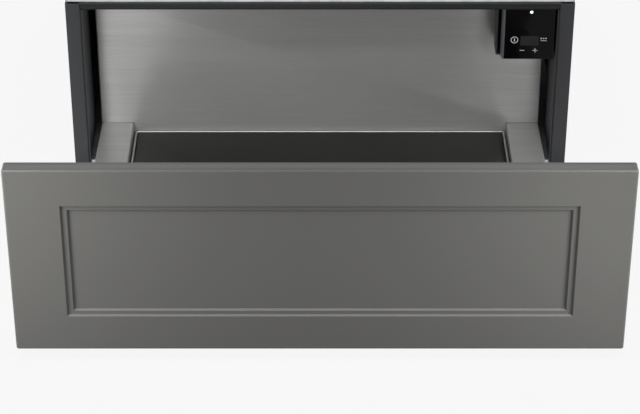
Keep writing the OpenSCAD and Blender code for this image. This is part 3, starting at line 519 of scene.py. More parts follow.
def coated(name, colour, rough, grainScale, grainDepth, metal=0.0, specular=0.5, tint=0.12, dust=0.0):
    # paint, plastic and rubber: a fine skin texture, slow patches of gloss and a slight change of tone
    tree, shader, place = newMaterial(name)
    patches = useGroup(tree, "patches", place, Size=3.5)
    skin = noiseAt(tree, place, grainScale, 3, 0.55)
    mixed = shared(tree, skin, patches["Patches"], 0.5)
    shade = blendColours(tree, ranged(tree, mixed, 0, 1, 0.35, 0.65), scaled(colour, 1 - tint),
                         scaled(colour, 1 + tint))
    roughness = uneven(tree, ranged(tree, skin, rough * 0.9, rough * 1.12), place, 3.5, -0.03, 0.04)
    shade, roughness = dusted(tree, place, dust, shade, roughness, (0.45, 0.44, 0.42), 0.3)
    feed(tree, shader, Base_Color=shade, Roughness=roughness, Metallic=metal, Specular_IOR_Level=specular,
         Normal=bump(tree, skin, grainDepth * mm, 0.5))


paint = {
    "colour": (0.045, 0.0445, 0.0423),
    "rough": 0.3,
    "specular": 0.21,
    "flakesPerMetre": 1500.0,
    "creaseTone": 0.42,  # share of the colour left on the slants where shade is painted into the steps
    "creaseShare": 0.9,  # how far that painted shade is taken there
}


def frontPaint():
    # satin lacquer with a fine flake under it and the faint waviness of a sprayed coat; shade is painted
    # into the colour on the upright and upper slants of the steps, where the piece's own painted shade
    # attribute says so
    tree, shader, place = newMaterial("front_paint")
    colour, rough = paint["colour"], paint["rough"]
    patches = useGroup(tree, "patches", place, Size=2.2)["Patches"]
    flake = addNode(tree, "TexVoronoi", Vector=place, Scale=paint["flakesPerMetre"])
    glint = addNode(tree, "SeparateXYZ", flake.outputs["Color"]).outputs
    base = blendColours(tree, glint["X"], scaled(colour, 0.97), scaled(colour, 1.03))
    base = blendColours(tree, ranged(tree, patches, 0, 0.25), base, scaled(colour, 1.06))
    # painted shade: the upright and upper slants are darkened, and the lit lower slants are not
    crease = addNode(tree, "Attribute", attribute_type="GEOMETRY", attribute_name="crease").outputs["Fac"]
    shadeAmount = times(tree, crease, paint["creaseShare"])
    base = blendColours(tree, shadeAmount, base, scaled(colour, paint["creaseTone"]))
    gloss = ranged(tree, glint["Y"], rough * 0.97, rough * 1.03, 0, 1)
    roughness = uneven(tree, gloss, place, 2.2, -0.01, 0.015)
    relief = bump(tree, noiseAt(tree, place, 260.0), 0.02 * mm, 0.12)
    feed(tree, shader, Base_Color=base, Roughness=roughness, Metallic=0.0,
         Specular_IOR_Level=paint["specular"], Normal=relief)


def darkGlass(name, colour, rough, specular):
    # printed glass: a smooth top with faint wiping marks in the gloss
    tree, shader, place = newMaterial(name)
    patches = useGroup(tree, "patches", place, Size=7.0)["Patches"]
    wipe = useGroup(tree, "lines", place, Stretch=(14, 26, 20))["Streaks"]
    film = useGroup(tree, "dust", place, Amount=0.02)["Mask"]
    shade = blendColours(tree, ranged(tree, patches, 0, 1), scaled(colour, 0.85), scaled(colour, 1.15))
    feed(tree, shader, Base_Color=blendColours(tree, film, shade, (0.3, 0.3, 0.29)),
         Roughness=ranged(tree, wipe, rough, rough + 0.03), Specular_IOR_Level=specular, IOR=1.5)


def woolMat(name, colour):
    # matted fibres with darker specks
    tree, shader, place = newMaterial(name)
    fibres = useGroup(tree, "lines", place, Stretch=(220, 90, 400))["Streaks"]
    specks = useGroup(tree, "patches", place, Size=12.0)["Specks"]
    shade = blendColours(tree, ranged(tree, fibres, 0, 1), scaled(colour, 0.72), colour)
    shade = blendColours(tree, ranged(tree, specks, 0, 0.3, 0.55, 0.75), shade, (0.5, 0.42, 0.28))
    feed(tree, shader, Base_Color=shade, Roughness=0.95, Sheen_Weight=0.3,
         Normal=bump(tree, fibres, 0.6 * mm, 0.8))


def boardMat(name, colour):
    # solder mask over straight copper tracks
    tree, shader, place = newMaterial(name)
    turned = addNode(tree, "Mapping", Vector=place, Rotation=(math.pi / 2, 0, 0)).outputs[0]
    tracks = addNode(tree, "TexBrick", offset=0.37, squash=1.6, Vector=turned, Scale=240.0,
                     Mortar_Size=0.06, Brick_Width=1.9, Row_Height=0.55).outputs["Fac"]
    patches = useGroup(tree, "patches", place, Size=20.0)["Patches"]
    feed(tree, shader, Base_Color=blendColours(tree, tracks, colour, scaled(colour, 1.9)),
         Roughness=ranged(tree, patches, 0.28, 0.4), Normal=bump(tree, tracks, 0.05 * mm, 0.5))


def lampMat(name):
    # a lit diffusing lens, brighter in its middle
    tree, shader, place = newMaterial(name)
    edge = addNode(tree, "LayerWeight", Blend=0.35).outputs["Facing"]
    glow = blendColours(tree, ranged(tree, edge, 1.0, 0.55, 0.0, 1.0), (0.6, 0.68, 0.8), (0.95, 0.97, 1.0))
    feed(tree, shader, Base_Color=(0.9, 0.92, 0.95), Emission_Color=glow, Emission_Strength=1.0,
         Roughness=ranged(tree, noiseAt(tree, place, 900.0), 0.3, 0.45))


steels = {  # light tone, dark tone, roughness, stretch of the lines, anisotropy, the rest
    "stainless": ((0.4, 0.4, 0.395), (0.305, 0.305, 0.3), 0.4, (16, 900, 900), 0.75,
                  {"dust": 0.03, "metal": 0.75}),
    "trim_steel": ((0.5, 0.5, 0.49), (0.43, 0.43, 0.42), 0.42, (300, 300, 300), 0.0, {"lineDepth": 0.004}),
    "zinc_bracket": ((0.62, 0.62, 0.6), (0.42, 0.42, 0.41), 0.42, (240, 60, 240), 0.2, {}),
    "runner_steel": ((0.68, 0.69, 0.71), (0.5, 0.51, 0.53), 0.27, (900, 6, 900), 0.6, {}),
    "bearing_steel": ((0.82, 0.82, 0.84), (0.66, 0.66, 0.68), 0.16, (400, 400, 400), 0.0, {}),
    "fastener": ((0.74, 0.74, 0.74), (0.52, 0.52, 0.52), 0.24, (500, 500, 120), 0.2, {}),
    "aluminium_plate": ((0.8, 0.81, 0.82), (0.64, 0.65, 0.66), 0.36, (700, 9, 700), 0.5, {}),
    "heater_foil": ((0.8, 0.5, 0.26), (0.6, 0.34, 0.15), 0.33, (300, 300, 300), 0.1, {}),
}
coats = {  # colour, roughness, grains per metre, grain depth in millimetres, the rest
    "anthracite": ((0.045, 0.046, 0.049), 0.44, 1100, 0.03,
                   {"metal": 0.15, "specular": 0.3, "tint": 0.1, "dust": 0.05}),
    # a darker copy of the anthracite for the front rail: shade painted into the rail's colour
    "rail_black": ((0.02, 0.0205, 0.022), 0.42, 1100, 0.03, {"specular": 0.3, "tint": 0.1}),
    "black_plastic": ((0.012, 0.012, 0.012), 0.46, 2200, 0.02, {"specular": 0.4}),
    "white_plastic": ((0.72, 0.72, 0.69), 0.35, 1800, 0.01, {"tint": 0.04}),
    "seal_rubber": ((0.008, 0.008, 0.009), 0.6, 1500, 0.02, {"specular": 0.35}),
    "foot_rubber": ((0.016, 0.016, 0.016), 0.68, 900, 0.05, {"specular": 0.35, "dust": 0.1}),
    "sensor_ceramic": ((0.78, 0.75, 0.66), 0.55, 2600, 0.02, {"tint": 0.06}),
    "lead_silicone": ((0.72, 0.72, 0.68), 0.42, 1200, 0.01, {"tint": 0.05}),
    "lead_black": ((0.018, 0.018, 0.019), 0.4, 1200, 0.01, {}),
    "carrier_grey": ((0.07, 0.072, 0.078), 0.4, 1600, 0.01, {}),
    "print_white": ((0.62, 0.64, 0.66), 0.5, 3000, 0.002, {"tint": 0.05}),
    "chip_black": ((0.02, 0.02, 0.022), 0.35, 2600, 0.01, {}),
    "relay_blue": ((0.03, 0.09, 0.3), 0.4, 1600, 0.01, {}),
}
glasses = {  # colour, roughness, specular level
    "warming_glass": ((0.0066, 0.0062, 0.0042), 0.08, 0.075),
    "touch_glass": ((0.0025, 0.0025, 0.003), 0.12, 0.09),
    "display_glass": ((0.022, 0.022, 0.024), 0.3, 0.12),
}

frontPaint()
for name, (*values, rest) in steels.items():
    brushedSteel(name, *values, **rest)
for name, (*values, rest) in coats.items():
    coated(name, *values, **rest)
for name, values in glasses.items():
    darkGlass(name, *values)
zincSheet("galvanised", light=(0.68, 0.7, 0.72), dark=(0.42, 0.44, 0.46), rough=0.36, scale=85.0)
woolMat("insulation_wool", (0.74, 0.7, 0.58))
boardMat("circuit_board", (0.012, 0.11, 0.045))
lampMat("lamp_lens")
print("materials:", len(materials))

studio = {
    "floorColour": (0.86, 0.86, 0.855),
    "floorSize": 14.0,
    "floorBelow": 0.5 * mm,
    "floorGlow": 0.9,  # how much of the floor's look is plain white for camera and mirror rays
    "worldLight": 0.27,
    "lamps": [  # name, place, aim, width, height, watts, spread in degrees
        ("topBox", (0.0, -0.80, 2.4), (0, -0.4, 0.1), 1.5, 0.32, 9, 180),
        ("highBox", (0.0, -1.35, 2.2), (0, 0.0, 0.15), 1.1, 0.25, 12, 180),
        ("leftBox", (-0.55, -0.71, 0.30), (-0.2, -0.61, 0.13), 0.2, 0.6, 5.5, 125),
        ("rightBox", (0.55, -0.71, 0.30), (0.2, -0.64, 0.13), 0.2, 0.6, 5.8, 115),
    ],
    "floorLamp": "topBox",  # the only one that lights the floor; the others would leave bright pools
}


def seenWhite(tree, lit, share):
    # camera, mirror and glass rays see plain white by the given share; other rays get the lit shader
    path = addNode(tree, "LightPath").outputs
    seen = mathNode(tree, "MAXIMUM", path["Is Camera Ray"], path["Is Glossy Ray"])
    seen = mathNode(tree, "MAXIMUM", seen, path["Is Transmission Ray"])
    glow = addNode(tree, "Emission", Color=(1, 1, 1)).outputs[0]
    return addNode(tree, "MixShader", times(tree, seen, share), lit, glow).outputs[0]


def makeStage():
    # pale floor, even world light and soft lamps, most of which leave the floor alone
    mesh = bpy.data.meshes.new("floor")
    square = studio["floorSize"] * np.array([(-1, -1, 0), (1, -1, 0), (1, 1, 0), (-1, 1, 0)], float)
    mesh.from_pydata(square.tolist(), [], [(0, 1, 2, 3)])
    floor = placed("floor", mesh)
    floor.location.z = -studio["floorBelow"]
    mat = bpy.data.materials.new("floorPaper")
    mat.use_nodes = True
    tree = mat.node_tree
    shader = tree.nodes["Principled BSDF"]
    feed(tree, shader, Base_Color=studio["floorColour"], Roughness=0.9, Specular_IOR_Level=0.0)
    seen = seenWhite(tree, shader.outputs[0], studio["floorGlow"])
    feed(tree, tree.nodes["Material Output"], Surface=seen)
    mesh.materials.append(mat)
    world = bpy.data.worlds.new("studio")
    world.use_nodes = True
    bpy.context.scene.world = world
    tree = world.node_tree
    sky = tree.nodes["Background"]
    feed(tree, sky, Strength=studio["worldLight"], Color=(1, 1, 1))
    feed(tree, tree.nodes["World Output"], Surface=seenWhite(tree, sky.outputs[0], studio["floorGlow"]))
    spared = bpy.data.collections.new("floorSpared")
    spared.objects.link(floor)
    spared.collection_objects[0].light_linking.link_state = "EXCLUDE"
    for name, place, aim, width, height, watts, spread in studio["lamps"]:
        data = bpy.data.lights.new(name, "AREA")
        data.shape = "RECTANGLE"
        data.size, data.size_y, data.energy, data.spread = width, height, watts, math.radians(spread)
        lamp = placed(name, data)
        lamp.visible_camera = False
        if name != studio["floorLamp"]:
            lamp.light_linking.receiver_collection = spared
        lamp.location = place
        lamp.rotation_euler = (Vector(aim) - Vector(place)).to_track_quat("-Z", "Y").to_euler()


viewpoint = {
    "away": 2.650,  # level distance from the casing's front plane, in metres
    "height": 1.5355,  # above the shelf
    "topMargin": 4.0,  # pixels between the picture's edge and the casing's top, of 414
    "picture": (640, 414),
    "frontWidth": 639.0,  # pixels across the front's top edge
    "firstPitch": 5.0,  # degrees below the casing's top, where the search starts
    "rounds": 20,
}


def makeCamera():
    # the photograph's viewpoint, turned down until the casing's top edge meets the upper margin
    casingLo, casingHi = corners("front_post_right")
    frontLo, frontHi = corners("drawer_front")
    eye = np.array([0.0, casingLo[1] - viewpoint["away"], viewpoint["height"]])
    wide, tall = viewpoint["picture"]
    toTop = math.atan2(eye[2] - casingHi[2], viewpoint["away"])
    pitch = toTop + math.radians(viewpoint["firstPitch"])
    for _ in range(viewpoint["rounds"]):
        reach = (frontLo[1] - eye[1]) * math.cos(pitch) + (eye[2] - frontHi[2]) * math.sin(pitch)
        halfWide = frontHi[0] / reach * wide / viewpoint["frontWidth"]
        halfTall = halfWide * tall / wide
        pitch = toTop + math.atan(halfTall * (1 - 2 * viewpoint["topMargin"] / tall))
    data = bpy.data.cameras.new("camera")
    data.sensor_width = 36.0
    data.lens = data.sensor_width / 2 / halfWide
    camera = placed("camera", data)
    camera.location = eye
    camera.rotation_euler = (math.pi / 2 - pitch, 0, 0)
    bpy.context.scene.camera = camera
    print("camera looks down by %.2f degrees through a %.1f mm lens" % (math.degrees(pitch), data.lens))


bpy.context.scene.view_settings.view_transform = "Standard"
makeStage()
makeCamera()

front = {
    "cornerRadius": 3.0 * mm, "edgeRadius": 2.5 * mm, "skin": 1.2 * mm, "lipBreak": 0.3 * mm,
    "innerRound": 1.0 * mm,  # between the inner sides and the inner face
    "innerCorner": 1.8 * mm,
    "stile": 66.4 * mm,  # upright margin beside the sunk panel
    "rail": 49.5 * mm,  # level margin above and below it
    "slants": (2.3 * mm, 1.7 * mm),  # widths on the upright and on the level runs
    "ledges": (5.6 * mm, 4.9 * mm),
    "stepDepth": 2.8 * mm, "mouldCorner": 0.25 * mm, "creaseRadius": 0.35 * mm,
    "flats": (2.0 * mm, 4.0 * mm),  # before and after the steps
    "creaseEdge": 0.03,  # share of a step's depth over which the painted shade value grows
    "creaseTurn": 1.6,  # how fast the painted shade falls towards the lit lower slants
}


def frontPiece():
    # rings of rounded rectangles: lip, sides, rounded edge, face, two slanted steps, panel; then the inside
    lo, hi = corners("drawer_front")
    mid, half = middleOf("drawer_front")
    s, t, (before, behind) = front, hi[1] - lo[1], front["flats"]
    skin, deep, lip, edgeRadius = s["skin"], s["stepDepth"], s["lipBreak"], s["edgeRadius"]
    turn = np.linspace(0, math.pi / 2, 9)
    edge = edgeRadius * np.stack([1 - np.cos(turn), 1 - np.sin(turn)], 1)
    outer = np.concatenate([[[skin, t], [lip, t], [0.0, t - lip]], edge, [(edgeRadius + nearCorner, 0)]])
    mould = []
    for slant, ledge in zip(s["slants"], s["ledges"]):
        end = slant + ledge
        path = [(-before, 0), (0, 0), (slant, deep), (end, deep), (end + slant, 2 * deep),
                (end + slant + behind, 2 * deep)]
        mould.append(held(filleted(path, s["creaseRadius"], 4)))
    levels = drawnIn(half[0], half[2], outer, s["cornerRadius"], lip)
    levels += [(half[0] - s["stile"] - i, half[2] - s["rail"] - k, s["mouldCorner"], d)
               for (i, d), (k, _) in zip(*mould)]
    inside = [(w, h, r, d + skin) for w, h, r, d in levels[:len(outer) - 1:-1]]
    section = [(skin + s["innerRound"], skin), (skin + lip, skin + lip), (skin, skin + s["innerRound"])]
    inside += drawnIn(half[0], half[2], section, s["innerCorner"])
    face = nested(levels + inside, (mid[0], lo[1], mid[2]))
    count, total, m = len(levels), *face.shape[:2]
    # one cap on the panel, one on its inner side, and the last inner ring joined to the first outer one
    rows = [(k, k + 1) for k in range(total - 1) if k != count - 1] + [(total - 1, 0)]
    col = np.arange(m)
    after = (col + 1) % m
    quads = np.concatenate([np.stack([a * m + col, a * m + after, b * m + after, b * m + col], 1)
                            for a, b in rows])
    caps = [(count - 1) * m + col, (count * m + col)[::-1]]
    shape = turnedOut(face.reshape(-1, 3), quads, caps)
    obj = makePiece("drawer_front", "front_paint", [shape], "frontPanel", angle=50)
    # the painted shade is 1 on the upright and the upper slants and 0 on the lit lower ones and everywhere
    # else
    depth = np.array([d for _, _, _, d in levels]) % deep
    onStep = np.zeros(total)
    onStep[len(outer):count] = np.minimum(depth, deep - depth)[len(outer):] / (s["creaseEdge"] * deep)
    facing = np.concatenate([k * math.pi / 2 + np.linspace(0, math.pi / 2, m // 4) for k in range(4)])
    shadeWeight = np.clip(1 + s["creaseTurn"] * np.minimum(np.sin(facing), 0), 0, 1)
    values = np.clip(onStep, 0, 1)[:, None] * shadeWeight[None]
    obj.data.attributes.new("crease", "FLOAT", "POINT").data.foreach_set("value", values.ravel())


innerPanel = {
    "plate": 1.0 * mm, "soft": 0.2 * mm, "corner": 2.0 * mm,
    "panCorners": (8.0 * mm, 0.5 * mm),  # at the pan's edge, and the least they shrink to
    "panSlant": 1.2 * mm, "bend": 1.0 * mm, "flats": (6.0 * mm, 9.0 * mm),
    "hollowInset": 0.8 * mm,  # of the pan's hollow side against its raised one
    "aboveRim": 3.0 * mm, "belowWallTop": 6.0 * mm, "besideRim": 4.0 * mm,
}


def innerPanelPiece():
    # the plate behind the front with a shallow pan pressed towards the drawer
    lo, hi = corners("front_inner_panel")
    mid, half = middleOf("front_inner_panel")
    rimHi, wallHi = corners("rim_right")[1], corners("back_wall")[1]
    s, deep, (before, behind) = innerPanel, hi[1] - lo[1], innerPanel["flats"]
    plate, soft = s["plate"], s["soft"]
    panLo, panHi = rimHi[2] + s["aboveRim"], wallHi[2] - s["belowWallTop"]
    panWide, panTall = rimHi[0] - s["besideRim"], (panHi - panLo) / 2
    wall = filleted([(-before, plate), (0, plate), (s["panSlant"], deep), (behind, deep)], s["bend"], 4)
    hollow = (wall + [s["hollowInset"], -plate])[::-1]
    place = (mid[0], lo[1], (panLo + panHi) / 2)
    rear, ahead = (nested(drawnIn(panWide, panTall, side, *s["panCorners"]), place)
                   for side in (hollow, wall))
    edge = [(soft, 0), (0, soft), (0, plate - soft), (soft, plate)]
    rim = nested(drawnIn(half[0], half[2], edge, s["corner"]), (mid[0], lo[1], mid[2]))
    makePiece("front_inner_panel", "stainless", [skinned(np.concatenate([rear, rim, ahead]))])


rims = {
    "sheet": 1.0 * mm, "bend": 0.7 * mm, "foot": 9.0 * mm, "drop": 5.0 * mm, "hem": 4.5 * mm,
    "wallGap": 0.1 * mm, "overlap": 0.3 * mm, "rearInset": 3.0 * mm,
}


def rimPieces():
    # the folded profile in X and Z carried along the drawer, only its top and outer fold beside the wall
    s = rims
    half = s["sheet"] / 2
    wallFront = corners("back_wall")[0][1]
    for side, node in [(-1, "rim_left"), (1, "rim_right")]:
        lo, hi = corners(node)
        inner, outer = (lo[0], hi[0]) if side > 0 else (-hi[0], -lo[0])
        top, low = hi[2] - half, lo[2] + half
        edge = [(outer - half, top), (outer - half, top - s["drop"]), (outer - s["hem"], top - s["drop"])]
        fold = [(inner + s["foot"], low), (inner + half, low), (inner + half, top)]
        runs = [(fold, lo[1], wallFront - s["wallGap"]),
                ([(inner + s["rearInset"], top)], wallFront - s["overlap"], hi[1])]
        shapes = [bar(stripOutline(path + edge, s["sheet"], s["bend"]), start, end, "y")
                  for path, start, end in runs]
        makePiece(node, "stainless", shapes if side > 0 else [mirrored(shape) for shape in shapes])


glass = {
    "ground": 0.8 * mm, "break": 0.3 * mm, "corner": 2.8 * mm,
    "trimWidth": 3.0 * mm, "trimRound": 1.1 * mm, "trimCorner": 5.0 * mm, "innerCorner": 1.6 * mm,
    "trimDepth": 3.5 * mm, "ledge": 6.0 * mm, "ledgeDown": 4.1 * mm, "ledgeThick": 1.1 * mm,
    "skirt": 1.0 * mm, "skirtBreak": 0.4 * mm,
}


def glassPieces():
    # a pane with ground edges lying in a bright frame that has a ledge under it
    s = glass
    mid, half = middleOf("warming_glass")
    ground, soft = s["ground"], s["break"]
    section = [(soft, -half[2]), (0, soft - half[2]), (0, half[2] - ground),
               (0.3 * ground, half[2] - 0.3 * ground), (ground, half[2])]
    levels = drawnIn(half[0], half[1], section, s["corner"], 0)
    makePiece("warming_glass", "warming_glass", [skinned(nested(levels, mid, "z"))])
    mid, half = middleOf("glass_trim")
    top, width, skirt, soft = half[2], s["trimWidth"], s["skirt"], s["skirtBreak"]
    side, shelf, inner = top - s["trimDepth"], top - s["ledgeDown"], width + s["ledge"]
    under = shelf - s["ledgeThick"]
    crown = filleted([(0, side), (0, top), (width, top), (width, side)], s["trimRound"], 6)
    section = np.concatenate([[(soft, -top), (0, soft - top)], crown, [(width, shelf), (inner, shelf)],
                              [(inner, under), (skirt, under), (skirt, -top)]])
    levels = drawnIn(half[0], half[1], section, s["trimCorner"], s["innerCorner"])
    makePiece("glass_trim", "trim_steel", [skinned(nested(levels, mid, "z"), loop=True)], angle=40)


buffers = {
    "radius": 5.0 * mm, "footShare": 0.96, "footBreak": 0.3 * mm,
    "dome": [(0.93, 0.55), (0.8, 0.85), (0.5, 0.98), (0.1, 1)],  # shares of the radius and of the depth
}


def fourPlaces(lo, hi, r, u, v):
    # the corner places of a group of round things, on the two given axes
    for a in (lo[u] + r, hi[u] - r):
        for b in (lo[v] + r, hi[v] - r):
            place = lo.copy()
            place[u], place[v] = a, b
            yield place


def bufferPieces():
    # domed rubber stops on the back of the front
    lo, hi = corners("front_buffers")
    r, deep = buffers["radius"], hi[1] - lo[1]
    profile = [(r * buffers["footShare"], 0), (r, buffers["footBreak"])]
    profile += [(a * r, b * deep) for a, b in buffers["dome"]]
    shapes = [turnedShape(profile, place) for place in fourPlaces(lo, hi, r, 0, 2)]
    makePiece("front_buffers", "seal_rubber", shapes)


screws = {  # heads: radius and height; shanks: radius and length
    "casingHead": (3.4 * mm, 1.5 * mm), "casingShank": (1.45 * mm, 2.5 * mm),
    "sideSteps": (0, 200 * mm, 380 * mm), "backPlaces": (-300 * mm, -100 * mm, 100 * mm, 300 * mm),
    "drawerHead": (2.8 * mm, 1.4 * mm), "drawerShank": (1.2 * mm, 3.0 * mm),
    "rings": [1, 1, 0.97, 0.9, 0.78, 0.66, 0.56, 0.48, 0.4, 0.3, 0.2, 0.1, 0.03],  # shares of the radius
    "dome": 0.45, "arm": 0.13, "reach": 0.55, "fall": 0.06, "crossDepth": 0.75,
    "shankTop": 0.05 * mm, "tip": 0.4 * mm, "tipShare": 0.7,
}


def screwShapes(centre, axis, out, head, shank):
    # a pan head: its dome falls with the square of the radius, and a cross is sunk where an arm's mask is 1
    s, (radius, height), (thick, deep) = screws, head, shank
    share = np.array(s["rings"])
    flat = radius * share[:, None, None] * circle(1, 40)
    rise = height * np.concatenate([[0, s["dome"]], 1 - s["dome"] * share[2:] ** 2])[:, None]
    arm, reach, fall = (s[k] * radius for k in ("arm", "reach", "fall"))
    x, y = np.abs(flat[..., 0]), np.abs(flat[..., 1])
    arms = [np.clip((arm - u) / fall + 0.5, 0, 1) * np.clip((reach - v) / fall + 0.5, 0, 1)
            for u, v in [(x, y), (y, x)]]
    rise = rise - np.maximum(*arms) * height * s["crossDepth"] * (share < 0.95)[:, None]
    profile = [(thick, s["shankTop"]), (thick, s["tip"] - deep), (thick * s["tipShare"], -deep)]
    points, quads, caps = turnedShape(profile, (0, 0, 0), axis, 20)
    return [skinned(stood(flat, out * rise, axis) + centre), turnedOut(points * out + centre, quads, caps)]


def screwPieces():
    # self-tapping screws in the side sheets' lower flanges, round the back sheet and in the front's angles
    s = screws
    lo, hi = corners("casing_screws")
    r, tall = s["casingHead"]
    low, high = lo[2] + r, hi[2] - r
    places = [((side * (hi[0] - tall), lo[1] + r + y, low), "x", side)
              for side in (-1, 1) for y in s["sideSteps"]]
    places += [((x, hi[1] - tall, z), "y", 1) for x in s["backPlaces"] for z in (low, high)]
    shapes = [shape for p in places for shape in screwShapes(*p, s["casingHead"], s["casingShank"])]
    makePiece("casing_screws", "fastener", shapes, angle=40)
    lo, hi = corners("drawer_screws")
    r, mid, seat = s["drawerHead"][0], (lo[2] + hi[2]) / 2, hi[0] - s["drawerShank"][1]
    places = [((side * seat, y, mid), "x", -side) for side in (-1, 1) for y in (lo[1] + r, hi[1] - r)]
    shapes = [shape for p in places for shape in screwShapes(*p, s["drawerHead"], s["drawerShank"])]
    makePiece("drawer_screws", "fastener", shapes, angle=40)


feet = {
    "radius": 12.0 * mm, "bore": 2.6 * mm, "headHole": (5.2 * mm, 4.0 * mm), "round": 0.35 * mm,
    "side": [(2.2, 0), (1.4, 1.4), (1.2, 8), (2.2, 8.8), (2.2, 10.4), (0, 11.2)],  # inset, height in mm
}


def footPieces():
    # the tapered rubber disc with its groove, hollow below and bored for the shelf screw
    lo, hi = corners("feet")
    r, tall = feet["radius"], hi[2] - lo[2]
    wide, deep = feet["headHole"]
    path = [(wide, 0)] + [(r - i * mm, z * mm) for i, z in feet["side"]] + [(r, tall), (feet["bore"], tall)]
    profile = np.concatenate([filleted(path, feet["round"], 3), [(feet["bore"], deep), (wide, deep)]])
    shapes = [turnedShape(profile, place, "z", 48, True) for place in fourPlaces(lo, hi, r, 0, 1)]
    makePiece("feet", "foot_rubber", shapes, "feetPads", angle=40)


inlet = {
    "bore": 5.5 * mm, "barrel": 8.8 * mm, "flange": 13.0 * mm, "round": 0.4 * mm,
    "root": 0.2 * mm, "mouth": 1.2 * mm,  # how deep the flange's foot and the bore's rounded mouth reach
    "slope": (0.55, 3.0 * mm),  # where the flange's slope starts, as a share of its height, and its width
    "boreBreak": 0.4 * mm, "barrelBreak": (0.6 * mm, 0.8 * mm),
    "groove": [(0, 2.4), (0.5, 2.0), (0.5, 1.2), (0, 1.0)],  # inset and depth in mm
    "flutes": 24, "fluteDepth": 0.045, "grip": 0.8 * mm, "steps": 96,
}


def inletPiece():
    # cable bush: fluted flange outside the back sheet, barrel with a groove inside it
    s = inlet
    lo, hi = corners("mains_inlet")
    mid, back = (lo + hi) / 2, corners("casing_back")[1][1]
    bore, barrel, flange, count = (s[k] for k in ("bore", "barrel", "flange", "steps"))
    out, end, soft = hi[1] - back, lo[1] - back, s["boreBreak"]
    (share, slope), (narrow, tall) = s["slope"], s["barrelBreak"]
    face = filleted([(barrel, -s["root"]), (flange, 0), (flange, out * share), (flange - slope, out),
                     (bore, out), (bore, out - s["mouth"])], s["round"], 3)
    tail = [(bore, end + soft), (bore + soft, end), (barrel - narrow, end), (barrel, end + tall)]
    tail += [(barrel - i * mm, -d * mm) for i, d in s["groove"]]
    profile = np.concatenate([face, tail])
    grip = (profile[:, :1] > flange - s["grip"]) * s["fluteDepth"]
    turn = np.linspace(0, 2 * math.pi, count, endpoint=False)
    wave = 1 - grip * (0.5 + 0.5 * np.cos(s["flutes"] * turn))
    shape = turnedShape(profile, (mid[0], back, mid[2]), "y", count, True, wave)
    makePiece("mains_inlet", "black_plastic", [shape], angle=40)


spring = {"wire": 0.35 * mm, "turns": 7, "steps": 36, "closing": 0.03}


def springPiece():
    # round wire on a helix: angle and place along the axis both grow evenly, with closed end turns
    mid, half = middleOf("latch_spring")
    wire, turns = spring["wire"], spring["turns"]
    share = np.linspace(0, 1, turns * spring["steps"] + 1)
    turn = 2 * math.pi * turns * share
    ease = share + spring["closing"] * np.sin(2 * math.pi * share)
    r, reach = half[0] - wire, half[1] - wire
    along = mid[1] - reach + 2 * reach * ease
    path = np.stack([mid[0] + r * np.cos(turn), along, mid[2] + r * np.sin(turn)], 1)
    makePiece("latch_spring", "fastener", [tubeAlong(path, circle(wire, 10))])


controls = {  # signs: places from the glass's lower left corner, in millimetres
    "ring": (13.7, 29.7, 5.1, 0.8),  # place, radius and line of the power sign
    "bars": [(13.7, 29.7, 1.1, 5.0), (25.0, 13.5, 7.0, 0.85), (43.1, 13.5, 7.0, 0.85),
             (43.1, 13.5, 0.85, 7.0), (54.2, 28.5, 8.6, 0.85)],  # place, width and height
    "dots": [(50.9, 31.9), (54.2, 31.9), (57.5, 31.9)], "dotRadius": 1.0,
    "proud": 0.05 * mm, "sunk": 0.02 * mm, "signCorner": 0.25 * mm,
    "glassCorner": 1.2 * mm, "glassBevel": 0.7 * mm, "glassBreak": 0.3 * mm,
    "window": (0.4 * mm, 0.03 * mm), "windowCorner": 0.8 * mm,  # how far it is sunk and stands proud
    "lens": [(1, 0.8), (1, 0.02), (0.9, -0.08), (0.5, -0.16), (0.05, -0.18)],  # share of radius, mm
}


def signShapes():
    # printed marks as thin slabs standing just proud of the glass
    c, lo = controls, corners("touch_glass")[0]
    sunk, proud, corner = c["sunk"], -c["proud"], c["signCorner"]
    u, v, r, line = (k * mm for k in c["ring"])
    profile = [(r, sunk), (r, proud), (r - line, proud), (r - line, sunk)]
    shapes = [turnedShape(profile, lo + [u, 0, v], "y", 64, True)]
    for u, v, w, h in np.array(c["bars"]) * mm:
        shapes.append(skinned(nested([(w / 2, h / 2, corner, d) for d in (sunk, proud)], lo + [u, 0, v])))
    r = c["dotRadius"] * mm
    for u, v in np.array(c["dots"]) * mm:
        shapes.append(turnedShape([(r, sunk), (r, proud)], lo + [u, 0, v], "y", 20))
    return shapes


def controlPieces():
    # touch glass with its window, lamp and signs, then the moulded carrier and what stands behind it
    c = controls
    mid, half = middleOf("touch_glass")
    face, bevel, soft = mid[1] - half[1], c["glassBevel"], c["glassBreak"]
    section = [(soft, half[1]), (0, half[1] - soft), (0, bevel * 0.8 - half[1]),
               (0.25 * bevel, 0.25 * bevel - half[1]), (bevel, -half[1])]
    levels = drawnIn(half[0], half[2], section, c["glassCorner"])
    makePiece("touch_glass", "touch_glass", [skinned(nested(levels, mid))])
    mid, half = middleOf("display")
    sunk, proud = c["window"]
    levels = [(half[0], half[2], c["windowCorner"], d) for d in (sunk, -proud)]
    window = skinned(nested(levels, (mid[0], face, mid[2])))
    makePiece("display", "display_glass", [window], "displayWindow")
    mid, half = middleOf("status_lamp")
    profile = [(share * half[0], d * mm) for share, d in c["lens"]]
    makePiece("status_lamp", "lamp_lens", [turnedShape(profile, (mid[0], face, mid[2]), "y", 32)])
    makePiece("touch_glass", "print_white", signShapes(), "touchMarks", stands=False)
    softened("control_carrier", "carrier_grey", bevel=0.35 * mm, segments=3)
    softened("control_housing", "black_plastic", bevel=0.6 * mm, segments=3)
    softened("control_bracket", "zinc_bracket")
    softened("control_board", "circuit_board")


